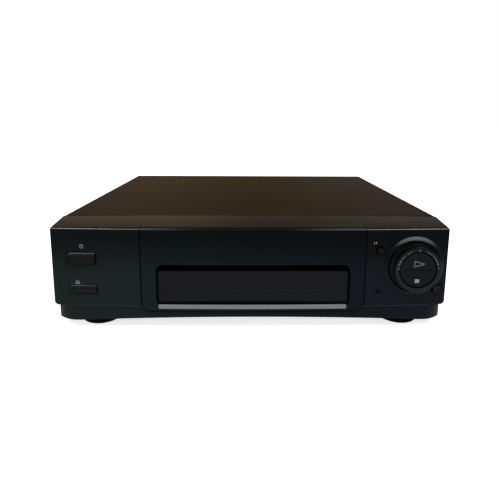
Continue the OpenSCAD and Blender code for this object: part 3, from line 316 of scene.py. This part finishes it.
# Turned and lapped aluminium: bright, with rings too fine to see
turned_aluminium = weather(surface("turned_aluminium", "#d2d4d4", 0.16, metallic=1.0), 2, 0.002, 0.05, 0.04)
# Die-cast aluminium, left as cast: grainy light grey
cast_aluminium = weather(surface("cast_aluminium", "#a9acae", 0.5, metallic=1.0), 1.6, 0.03, 0.12, 0.08)
# Ground stainless steel pins
ground_steel = surface("ground_stainless_steel", "#c4c6c8", 0.12, metallic=1.0)
# Black oxide on steel screws: dark with a satin glint
black_oxide = weather(surface("black_oxide_steel", "#34363a", 0.38, metallic=1.0), 1.2, 0.006)
# Nickel plating on motor cans and on the tuner's can
nickel = weather(surface("nickel_plating", "#c9c4b8", 0.22, metallic=1.0), 5, 0.003, 0.06, 0.05)
# Tin over brass on contacts: warm, soft grey
tinned_brass = weather(surface("tinned_brass", "#cfc7b2", 0.3, metallic=1.0), 3, 0.002, 0.06, 0.05)
# Acetal, moulded: creamy white, or black, and waxy
acetal_white = weather(surface("moulded_acetal_white", "#ddd9cc", 0.35, specular=0.4), 1.5, 0.006, 0.05)
acetal_black = weather(surface("moulded_acetal_black", "#17181a", 0.35, specular=0.4), 1.5, 0.006)
# Glass-filled polyester of switches and connectors: dull black
polyester = weather(surface("glass_filled_polyester", "#1b1c1e", 0.55, specular=0.3), 0.9, 0.01)
# Nitrile rubber: matt, soft black
rubber = weather(surface("nitrile_rubber", "#101010", 0.8, specular=0.3), 0.8, 0.02)
# Moulded rubber of the feet: dead matt
foot_rubber = weather(surface("moulded_foot_rubber", "#0b0c0d", 0.75, specular=0.01), 0.9, 0.01)
# Paper laminate circuit board under green solder mask
solder_mask = weather(surface("solder_mask_green", "#2f4d27", 0.35, specular=0.5), 3, 0.03, 0.25, 0.1)
# PVC ribbon lead: pale grey, ridged along its wires
pvc_grey = weather(surface("pvc_ribbon_grey", "#b9b5a8", 0.45, specular=0.4), 1.3, 0.1, 0.1,
                   stretch=(1, 0.02, 0.02))
# Drawn soda glass over a dark vacuum
tube_glass = surface("display_tube_glass", "#101c1c", 0.06, specular=0.5)
# Shrink sleeve of the capacitors
sleeve_pvc = weather(surface("pvc_sleeve_blue_black", "#1e2638", 0.3, specular=0.4), 8, 0.01)
# Transformer winding tape over varnished laminations
winding_tape = weather(surface("polyester_tape_amber", "#a8842e", 0.4, specular=0.4), 2.5, 0.02)
# Permalloy head shields, lapped to a mirror
head_metal = surface("lapped_permalloy", "#b9b6ae", 0.1, metallic=1.0)

FINISHES = {
    "front_fascia": fascia_abs, "centre_panel": panel_abs, "sill_strip": silver_lacquer,
    "cassette_flap": smoked_acrylic, "display_window": smoked_acrylic, "flap_spring": ground_steel,
    "power_button": key_abs, "eject_button": key_abs, "pause_button": key_abs, "record_button": key_abs,
    "shuttle_ring": ring_abs, "play_stop_disc": soft_touch, "timer_lens": lamp_acrylic,
    "top_cover": laminate, "cover_screws": black_oxide, "bottom_chassis": powder_black,
    "rear_panel": powder_black, "front_feet": foot_rubber, "rear_feet": foot_rubber,
    "front_board": solder_mask, "tact_switches": polyester, "shuttle_encoder": polyester,
    "knob_carrier": polyester, "display_tube": tube_glass, "main_board": solder_mask,
    "power_board": solder_mask, "transformer": winding_tape, "heat_sink": powder_black,
    "capacitors": sleeve_pvc, "tuner_can": nickel, "scart_sockets": polyester, "mains_inlet": polyester,
    "ribbon_cables": pvc_grey, "deck_plate": zinc_plate, "carriage_bracket_left": zinc_plate,
    "carriage_bracket_right": zinc_plate, "carriage_slider": acetal_black, "cassette_holder": zinc_plate,
    "carriage_pinion": acetal_white, "drum_base": cast_aluminium, "lower_drum": turned_aluminium,
    "upper_drum": turned_aluminium, "flywheel": ground_steel, "capstan_motor": nickel,
    "pinch_arm": zinc_plate, "pinch_roller": rubber, "supply_reel_table": acetal_black,
    "take_up_reel_table": acetal_black, "idler_arm": zinc_plate, "idler_wheel": rubber,
    "left_tape_guide": ground_steel, "right_tape_guide": ground_steel, "tension_arm": ground_steel,
    "erase_head": head_metal, "audio_head": head_metal, "loading_motor": nickel,
    "motor_pulley": acetal_white, "loading_belt": rubber, "cam_gear": acetal_white,
}
for name, finish in FINISHES.items():
    nodes[name].data.materials.clear()
    nodes[name].data.materials.append(finish)


# ---- Second finishes and broken edges ----

def repaint(name, finish, chosen):
    """Gives one CAD node's faces a second finish where chosen(centre, normal) holds."""
    mesh = nodes[name].data
    mesh.materials.append(finish)
    for face in mesh.polygons:
        if chosen(face.center, face.normal):
            face.material_index = len(mesh.materials) - 1


# The foot of the fascia's top edge, in metres, as this far below the fascia's highest point
TOP_EDGE_MM = 7
FACE_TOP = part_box("front_fascia")[1].z - TOP_EDGE_MM * MM
# Heights that tell the fascia's other parts from one another: its plinth, and the panel's seat
PLINTH_TOP_MM = 26.6
SEAT_LOW_MM = 20.9
SEAT_LEDGE_MM = 21.6
SEAT_HIGH_MM = 27
# How far behind the bowed front the panel's seat starts
SEAT_DEPTH_MM = 0.4


def on_band(centre, normal):
    """Whether a face lies on the sloping band on top of the front."""
    return normal.z > 0.9 and centre.z > FACE_TOP


def on_top_radius(centre, normal):
    """Whether a face lies on the front's rounded upper edge."""
    return centre.z > FACE_TOP and normal.y < -0.2 and 0.15 < normal.z < 0.95


def on_collar(centre, normal):
    """Whether a fascia face lies on the upper half of the collar's rounded crest."""
    reach = math.hypot(centre.x - SHUTTLE_X_MM * MM, centre.z - SHUTTLE_Z_MM * MM)
    return (SKIRT_R_MM * MM < reach < COLLAR_R_MM * MM and centre.z < FACE_TOP
            and -0.985 < normal.y < -0.05 and normal.z > 0.1)


def on_plinth_edge(centre, normal):
    """Whether a fascia face lies on the plinth's upper edge."""
    return centre.z < PLINTH_TOP_MM * MM and normal.y < -0.1 and normal.z > 0.3


def behind_panel(centre, normal):
    """Whether a fascia face lies in the panel's seat, so that only the seam shows it."""
    left, right = (side * MM for side in PANEL_SIDES_MM)
    front = (CORNER_Y_MM - BOW_MM) * MM + centre.x ** 2 / (2 * BOW_R_MM * MM)
    deep = centre.y > front + SEAT_DEPTH_MM * MM and not on_band(centre, normal)
    in_seam = (abs(normal.x) > 0.5 or centre.z > SEAT_HIGH_MM * MM
               or (normal.z > 0.5 and centre.z < SEAT_LEDGE_MM * MM))
    return left < centre.x < right and centre.z > SEAT_LOW_MM * MM and deep and in_seam


# The buttons' middles and half sizes, round ones with their radius twice, and the gap round them
BUTTONS_MM = ((-182, 81, 14.2, 5.5), (-182, 45.8, 14.2, 4.05), (139.5, 89.9, 4.1, 4.1),
              (205, 45.5, 5.3, 5.3))
HOLE_GAP_MM = 0.9


def in_button_hole(centre, normal):
    """Whether a fascia face is the wall of a button's opening."""
    return abs(normal.y) < 0.4 and any(
        abs(centre.x / MM - x) < half_x + HOLE_GAP_MM and abs(centre.z / MM - z) < half_z + HOLE_GAP_MM
        for x, z, half_x, half_z in BUTTONS_MM)


def on_key_edge(centre, normal):
    """Whether a face lies on a key's upper edge."""
    return normal.z > 0.6 and normal.y > -0.7


def over_flap(centre, normal):
    """Whether a flap face lies above the smoked front, on its hinge."""
    return centre.z > (FLAP_TOP_MM + 0.1) * MM


def in_hinge_chamber(centre, normal):
    """Whether a panel face lies in the opening above the flap."""
    return (HINGE_CHAMBER_LOW_MM * MM < centre.z < WINDOW_TOP_MM * MM and abs(normal.x) < 0.5
            and centre.y > (CORNER_Y_MM - 2.5) * MM)


# Painted reflection on the band and the panel's lip, painted highlight on the top radii, the collar, the
# plinth's edge and the keys' tops, and painted shade in dead black in the panel's seat, the buttons'
# openings, over the flap and in the hinge's chamber
for name, finish, chosen in (
        ("front_fascia", band_reflection_abs, on_band), ("centre_panel", lip_reflection_abs, on_band),
        ("front_fascia", top_edge_highlight_abs, on_top_radius), ("centre_panel", lip_edge_highlight_abs, on_top_radius),
        ("front_fascia", collar_highlight_abs, on_collar), ("front_fascia", plinth_highlight_abs, on_plinth_edge),
        ("front_fascia", shade_black, behind_panel), ("front_fascia", shade_black, in_button_hole),
        ("power_button", key_top_highlight_abs, on_key_edge), ("eject_button", key_top_highlight_abs, on_key_edge),
        ("cassette_flap", shade_black, over_flap), ("centre_panel", shade_black, in_hinge_chamber)):
    repaint(name, finish, chosen)


def soften(name, width_mm, finish=None):
    """Breaks a CAD node's sharp edges, as a mould or a press does; finish is what those edges get."""
    piece = nodes[name]
    weld = piece.modifiers.new("weld", "WELD")
    weld.merge_threshold = 0.002 * MM
    flat = piece.modifiers.new("flat", "DECIMATE")
    flat.decimate_type = "DISSOLVE"
    flat.angle_limit = math.radians(0.1)
    edge = piece.modifiers.new("edge", "BEVEL")
    edge.width = width_mm * MM
    edge.segments = 2
    edge.limit_method = "ANGLE"
    edge.angle_limit = math.radians(35)
    edge.harden_normals = True
    even = piece.modifiers.new("even", "WEIGHTED_NORMAL")
    even.mode = "FACE_AREA"
    even.weight = 100
    even.keep_sharp = True
    if finish:
        piece.data.materials.append(finish)
        edge.material = len(piece.data.materials) - 1


for name, width_mm in (("sill_strip", 0.3), ("centre_panel", 0.35), ("front_fascia", 0.35),
                       ("front_feet", 0.8), ("rear_feet", 0.8), ("rear_panel", 0.3), ("top_cover", 0.3)):
    soften(name, width_mm)
# Painted shade: these pieces' broken edges get the dead black, for a dark line round each
for name, width_mm in (("power_button", 0.35), ("eject_button", 0.35), ("pause_button", 0.4),
                       ("record_button", 0.45), ("play_stop_disc", 0.4), ("shuttle_ring", 0.5)):
    soften(name, width_mm, finish=shade_black)


# ---- Printed marks ----

def skin(name):
    """The CAD node's surface, for laying ink on it."""
    mesh = nodes[name].data
    return BVHTree.FromPolygons([v.co for v in mesh.vertices], [p.vertices for p in mesh.polygons])


def printed(name, on, finish, outlines, body="root"):
    """Ink on the front of a CAD node: each outline is a closed ring of (x, z) in millimetres."""
    tree = skin(on)
    mesh = bmesh.new()
    for outline in outlines:
        corners = []
        for x, z in outline:
            hit = tree.ray_cast(Vector((x * MM, RAY_START_Y, z * MM)), Vector((0, 1, 0)))[0]
            corners.append(mesh.verts.new(hit - Vector((0, INK_MM * MM, 0))))
        mesh.faces.new(corners)
    bmesh.ops.triangulate(mesh, faces=mesh.faces)
    bmesh.ops.recalc_face_normals(mesh, faces=mesh.faces)
    for face in mesh.faces:
        if face.normal.y > 0:
            face.normal_flip()
    piece = piece_from(mesh, name, finish, body)
    thick = piece.modifiers.new("ink", "SOLIDIFY")
    thick.thickness = 2 * INK_MM * MM
    thick.offset = -1


def piece_from(mesh, name, finish, body="root"):
    """An object made of a bmesh, riding on a CAD body."""
    data = bpy.data.meshes.new(name)
    mesh.to_mesh(data)
    mesh.free()
    data.materials.append(finish)
    piece = bpy.data.objects.new(name, data)
    bpy.context.scene.collection.objects.link(piece)
    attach(piece, body)
    return piece


def stroke(points, width):
    """Closed outlines that follow a line of points at a given width, one for each stretch."""
    made = []
    for (ax, az), (bx, bz) in zip(points, points[1:]):
        length = math.hypot(bx - ax, bz - az)
        ox, oz = (az - bz) / length * width / 2, (bx - ax) / length * width / 2
        made.append([(ax - ox, az - oz), (bx - ox, bz - oz), (bx + ox, bz + oz), (ax + ox, az + oz)])
    return made


def arc(x, z, r, start, end, steps):
    """Points of an arc, with its angles in degrees."""
    turns = [math.radians(start + (end - start) * i / steps) for i in range(steps + 1)]
    return [(x + r * math.cos(t), z + r * math.sin(t)) for t in turns]


def ring_sector(inner, outer, start, end, steps=6):
    """A sector of a ring round the shuttle's axis, as a closed outline."""
    x, z = SHUTTLE_X_MM, SHUTTLE_Z_MM
    return arc(x, z, outer, start, end, steps) + arc(x, z, inner, end, start, steps)


# Standby: an open circle with a bar in its gap
printed("power_symbol", "front_fascia", grey_ink,
        stroke(arc(-182.0, 93.9, 1.9, 60, -240, 14), 0.5) + stroke([(-182.0, 94.3), (-182.0, 96.6)], 0.5))
# Eject: an outlined triangle over a bar
printed("eject_symbol", "front_fascia", blue_ink,
        stroke([(-190.8, 52.9), (-185.8, 52.9), (-188.3, 55.9), (-190.8, 52.9)], 0.35)
        + stroke([(-190.9, 51.7), (-185.7, 51.7)], 0.45))
# Pause: two upright bars
printed("pause_symbol", "front_fascia", grey_ink,
        [stroke([(x, 97.2), (x, 99.4)], 0.8)[0] for x in (132.8, 135.0)])

# Play and stop, on the rocking disc
printed("play_symbol", "play_stop_disc", dim_ink,
        stroke([(SHUTTLE_X_MM + x, SHUTTLE_Z_MM + z) for x, z in
                ((-4.1, 9.6), (6.9, 6.5), (-4.1, 3.4), (-4.1, 9.6))], 0.9), "play_stop_disc")
printed("stop_symbol", "play_stop_disc", grey_ink,
        stroke([(SHUTTLE_X_MM - 2.8, SHUTTLE_Z_MM - 12.4), (SHUTTLE_X_MM + 1.9, SHUTTLE_Z_MM - 12.4)], 4.1),
        "play_stop_disc")

# The speed marks round the ring: a tick at rest, and on each side strokes that grow with the speed.
# Each is (start, end, width), with its angles in degrees.
SPEED_MARKS = ((112, 128, 0.5), (133, 139, 0.7), (141, 147, 0.9), (150, 158, 1.1), (160, 166, 1.3),
               (172, 178, 0.9), (45, 68, 0.5), (38, 43, 0.8), (30, 36, 1.0), (22, 28, 1.2), (15, 20, 1.3),
               (4, 8, 0.9))
printed("speed_marks", "shuttle_ring", dim_ink,
        [ring_sector(MARK_R_MM - width / 2, MARK_R_MM + width / 2, start, end)
         for start, end, width in SPEED_MARKS]
        + [ring_sector(MARK_R_MM - 1.0, MARK_R_MM + 1.2, 87, 89.5, 1)], "shuttle_ring")


# ---- Finer pieces at the back and on the cover ----

def turned(profile):
    """A bmesh turned about Z; profile is a line of (radius, height) in millimetres from axis to axis."""
    mesh = bmesh.new()
    line = [mesh.verts.new((r * MM, 0, z * MM)) for r, z in profile]
    edges = [mesh.edges.new(pair) for pair in zip(line, line[1:])]
    bmesh.ops.spin(mesh, geom=line + edges, axis=(0, 0, 1), cent=(0, 0, 0), angle=2 * math.pi,
                   steps=TURN_STEPS)
    bmesh.ops.remove_doubles(mesh, verts=mesh.verts, dist=0.001 * MM)
    bmesh.ops.recalc_face_normals(mesh, faces=mesh.faces)
    return mesh


def cross_cutter(reach_mm, arm_mm, top_mm, depth_mm):
    """The tapered cross that a driver's tip leaves, pointing down from just over top_mm."""
    mesh = bmesh.new()
    rings = []
    for level, grow in ((top_mm + CROSS_OVER_MM, 1.0), (top_mm - depth_mm, CROSS_TAPER)):
        r, a = reach_mm * grow * MM, arm_mm * grow / 2 * MM
        corners = [(r, a), (a, a), (a, r), (-a, r), (-a, a), (-r, a),
                   (-r, -a), (-a, -a), (-a, -r), (a, -r), (a, -a), (r, -a)]
        rings.append([mesh.verts.new((x, y, level * MM)) for x, y in corners])
    upper, lower = rings
    mesh.faces.new(upper)
    mesh.faces.new(lower[::-1])
    for i in range(len(upper)):
        j = (i + 1) % len(upper)
        mesh.faces.new((upper[i], lower[i], lower[j], upper[j]))
    bmesh.ops.recalc_face_normals(mesh, faces=mesh.faces)
    return mesh


def plain_object(mesh, name):
    """An object made of a bmesh, for a boolean and then removed."""
    data = bpy.data.meshes.new(name)
    mesh.to_mesh(data)
    mesh.free()
    item = bpy.data.objects.new(name, data)
    bpy.context.scene.collection.objects.link(item)
    return item


def screw_head(r_mm, height_mm):
    """A low pan head with a cross recess, as mesh data with its seat at z = 0."""
    blank = plain_object(turned([
        (0, height_mm), (0.5 * r_mm, 0.98 * height_mm), (0.8 * r_mm, 0.85 * height_mm),
        (0.96 * r_mm, 0.55 * height_mm), (r_mm, 0.3 * height_mm), (r_mm, 0), (0, 0)]), "head")
    cutter = plain_object(cross_cutter(0.62 * r_mm, 0.3 * r_mm, height_mm, 0.75 * height_mm), "tool")
    cut = blank.modifiers.new("cut", "BOOLEAN")
    cut.object = cutter
    cut.solver = "EXACT"
    made = bpy.data.meshes.new_from_object(blank.evaluated_get(bpy.context.evaluated_depsgraph_get()))
    for item in (blank, cutter):
        bpy.data.objects.remove(item)
    return made


# The screws: their heads' radius and heights, their places, and how far each cross is turned
SCREW_R_MM = 3.4
SIDE_HEAD_MM, BACK_HEAD_MM = 0.6, 1.6
SIDE_SCREW_Y_MM = (-81.19, 78.81)
SIDE_SCREW_Z_MM = 70
BACK_SCREW_X_MM = (24 - COVER_X_MM, 0, COVER_X_MM - 24)
BACK_SCREW_Z_MM = COVER_TOP_MM - 7
SCREW_TURNS_DEG = (10, 34, 71, 52, 15, 80, 42)
# How far a head's seat stands off the sheet
HEAD_GAP_MM = 0.05

heads = bmesh.new()
side_head, back_head = screw_head(SCREW_R_MM, SIDE_HEAD_MM), screw_head(SCREW_R_MM, BACK_HEAD_MM)
seats = [(side_head, (side * (COVER_X_MM + HEAD_GAP_MM), y, SIDE_SCREW_Z_MM),
          Matrix.Rotation(side * math.pi / 2, 4, "Y")) for side in (-1, 1) for y in SIDE_SCREW_Y_MM]
seats += [(back_head, (x, BACK_Y_MM + HEAD_GAP_MM, BACK_SCREW_Z_MM), Matrix.Rotation(-math.pi / 2, 4, "X"))
          for x in BACK_SCREW_X_MM]
for turn_deg, (data, place, aim) in zip(SCREW_TURNS_DEG, seats):
    spin = Matrix.Rotation(math.radians(turn_deg), 4, "Z")
    data = data.copy()
    data.transform(Matrix.Translation(Vector(place) * MM) @ aim @ spin)
    heads.from_mesh(data)
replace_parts(piece_from(heads, "screw_heads", black_oxide), "cover_screws")

# The rear sockets' places
SCART_X_MM, SCART_Z_MM = 50, (42, 66)
AERIAL_X_MM, AERIAL_OUT_Z_MM, AERIAL_IN_Z_MM = 164, 38, 60
INLET_X_MM, INLET_Z_MM = -174, 38
# The contacts' pitch, and for each row its height on the tongue, its first contact in pitches, and its count
CONTACT_PITCH_MM = 3.81
CONTACT_ROWS = ((1.7, -4.5, 10), (-1.7, -4.0, 9))
# A contact's half sizes, how far behind the panel its root lies, its height and how much its crest narrows
BLADE_HALF_X_MM, BLADE_HALF_Z_MM = 0.75, 0.38
BLADE_ROOT_MM = 0.98
BLADE_HEIGHT_MM = 0.22
BLADE_TAPER = 0.35


def add_contact(mesh, x, z):
    """A formed spring contact, seen end on: a low oval that narrows to its crest."""
    turns = [math.radians(angle) for angle in range(0, 360, 30)]
    rim = [mesh.verts.new(Vector((x + BLADE_HALF_X_MM * math.cos(t), BACK_Y_MM + BLADE_ROOT_MM,
                                  z + BLADE_HALF_Z_MM * math.sin(t))) * MM) for t in turns]
    raised = bmesh.ops.extrude_face_region(mesh, geom=[mesh.faces.new(rim)])["geom"]
    crest = [v for v in raised if isinstance(v, bmesh.types.BMVert)]
    bmesh.ops.translate(mesh, verts=crest, vec=(0, BLADE_HEIGHT_MM * MM, 0))
    for v in crest:
        v.co.x += (x * MM - v.co.x) * BLADE_TAPER
        v.co.z += (z * MM - v.co.z) * BLADE_TAPER


blades = bmesh.new()
for z in SCART_Z_MM:
    for row, first, count in CONTACT_ROWS:
        for i in range(count):
            add_contact(blades, SCART_X_MM + (first + i) * CONTACT_PITCH_MM, z + row)
bmesh.ops.recalc_face_normals(blades, faces=blades.faces)
piece_from(blades, "scart_contacts", tinned_brass)


def along_y(profile, z_mm):
    """A turned bmesh on an aerial socket's axis, with its own Z pointing to the back."""
    mesh = turned(profile)
    place = Vector((AERIAL_X_MM, BACK_Y_MM, z_mm)) * MM
    mesh.transform(Matrix.Translation(place) @ Matrix.Rotation(-math.pi / 2, 4, "X"))
    return mesh


INSULATOR_MM = ((0, 2.0), (3.4, 2.0), (4.5, 1.5), (4.7, 0.8), (4.7, 0.05), (0, 0.05))
PIN_MM = ((0, 8.6), (0.7, 8.5), (1.1, 8.0), (1.18, 7.3), (1.18, 1.9), (0, 1.9))
SLEEVE_MM = ((0, 2.2), (1.25, 2.2), (1.25, 7.4), (1.5, 7.7), (1.9, 7.4), (2.0, 6.6), (2.0, 1.9), (0, 1.9))
for name, finish, profile, z in (
        ("aerial_out_insulator", acetal_white, INSULATOR_MM, AERIAL_OUT_Z_MM),
        ("aerial_in_insulator", acetal_white, INSULATOR_MM, AERIAL_IN_Z_MM),
        ("aerial_out_pin", tinned_brass, PIN_MM, AERIAL_OUT_Z_MM),
        ("aerial_in_sleeve", tinned_brass, SLEEVE_MM, AERIAL_IN_Z_MM)):
    piece_from(along_y(profile, z), name, finish)

# The mains inlet's two pins: half their distance, their radius with room to spare, and where they start
INLET_PIN_X_MM = 4.3
INLET_PIN_R_MM = 1.3
INLET_PIN_BACK_MM = 11.9


def on_inlet_pin(centre, normal):
    """Whether an inlet face lies on one of its two pins."""
    return centre.y > (BACK_Y_MM - INLET_PIN_BACK_MM) * MM and min(
        math.hypot(centre.x - (INLET_X_MM + side * INLET_PIN_X_MM) * MM, centre.z - INLET_Z_MM * MM)
        for side in (-1, 1)) < INLET_PIN_R_MM * MM


repaint("mains_inlet", tinned_brass, on_inlet_pin)


# ---- Camera, light and floor ----

# Where the photograph was taken from, and how its frame sits round the lens's axis
CAMERA_MM = (-5.81, -580.74, 231.25)
PITCH, YAW, ROLL = math.radians(-8.66), math.radians(-0.84), math.radians(0.33)

camera = bpy.data.objects.new("camera", bpy.data.cameras.new("camera"))
bpy.context.scene.collection.objects.link(camera)
camera.data.sensor_width = 36
camera.data.lens = 28.35
camera.data.shift_x = -0.0035
camera.data.shift_y = -0.145
camera.location = Vector(CAMERA_MM) * MM
camera.rotation_mode = "QUATERNION"
turn = Matrix.Rotation(YAW, 3, "Z") @ Matrix.Rotation(math.radians(90) + PITCH, 3, "X")
camera.rotation_quaternion = (turn @ Matrix.Rotation(ROLL, 3, "Z")).to_quaternion()
bpy.context.scene.camera = camera

# The two lamps: where the left one hangs, what they look at, their side in metres and their watts
LAMP_PLACE = (-0.85, -0.55, 1.35)
LAMP_TARGET = (0, 0, 0.05)
LAMP_SIDE = 0.45
LAMP_WATTS = 16
# How strongly the background lights the part, and how strongly the floor glows where it is seen itself
SKY_LIGHT = 0.55
FLOOR_GLOW = 0.75
# Half the floor's side in metres, so that it reaches beyond the frame
FLOOR_HALF = 6


def softbox(name, place):
    """A square soft lamp, aimed at the part."""
    data = bpy.data.lights.new(name, "AREA")
    data.shape = "SQUARE"
    data.size = LAMP_SIDE
    data.energy = LAMP_WATTS
    lamp = bpy.data.objects.new(name, data)
    bpy.context.scene.collection.objects.link(lamp)
    lamp.location = place
    lamp.rotation_mode = "QUATERNION"
    lamp.rotation_quaternion = (Vector(LAMP_TARGET) - Vector(place)).to_track_quat("-Z", "Y")


softbox("left_softbox", LAMP_PLACE)
softbox("right_softbox", (-LAMP_PLACE[0], *LAMP_PLACE[1:]))


def seen_directly(tree):
    """1 on rays that show the background itself: the camera's, and those off gloss and through glass."""
    path = add(tree, "LightPath").outputs
    direct = maths(tree, "MAXIMUM", path["Is Camera Ray"], path["Is Glossy Ray"])
    return maths(tree, "MAXIMUM", direct, path["Is Transmission Ray"])


world = bpy.data.worlds.new("studio")
world.use_nodes = True
bpy.context.scene.world = world
sky = world.node_tree
background = sky.nodes["Background"]
sky.links.new(ramp(sky, seen_directly(sky), 0.0, 1.0, SKY_LIGHT, 1.0), background.inputs["Strength"])
background.inputs["Color"].default_value = (1, 1, 1, 1)

# A pale floor, out to beyond the frame, that keeps the shadow and shows as white elsewhere
paper = surface("white_paper_sweep", "#f4f4f3", 0.9, specular=0.0)
paper_shader = paper.node_tree.nodes["Principled BSDF"]
glow = ramp(paper.node_tree, seen_directly(paper.node_tree), 0.0, 1.0, 0.0, FLOOR_GLOW)
paper.node_tree.links.new(glow, paper_shader.inputs["Emission Strength"])
paper_shader.inputs["Emission Color"].default_value = (1, 1, 1, 1)
floor_mesh = bpy.data.meshes.new("floor")
floor_corners = [(x * FLOOR_HALF, y * FLOOR_HALF, 0) for x, y in ((-1, -1), (1, -1), (1, 1), (-1, 1))]
floor_mesh.from_pydata(floor_corners, [], [(0, 1, 2, 3)])
floor_mesh.materials.append(paper)
floor = bpy.data.objects.new("floor", floor_mesh)
bpy.context.scene.collection.objects.link(floor)

bpy.context.scene.view_settings.view_transform = "Standard"
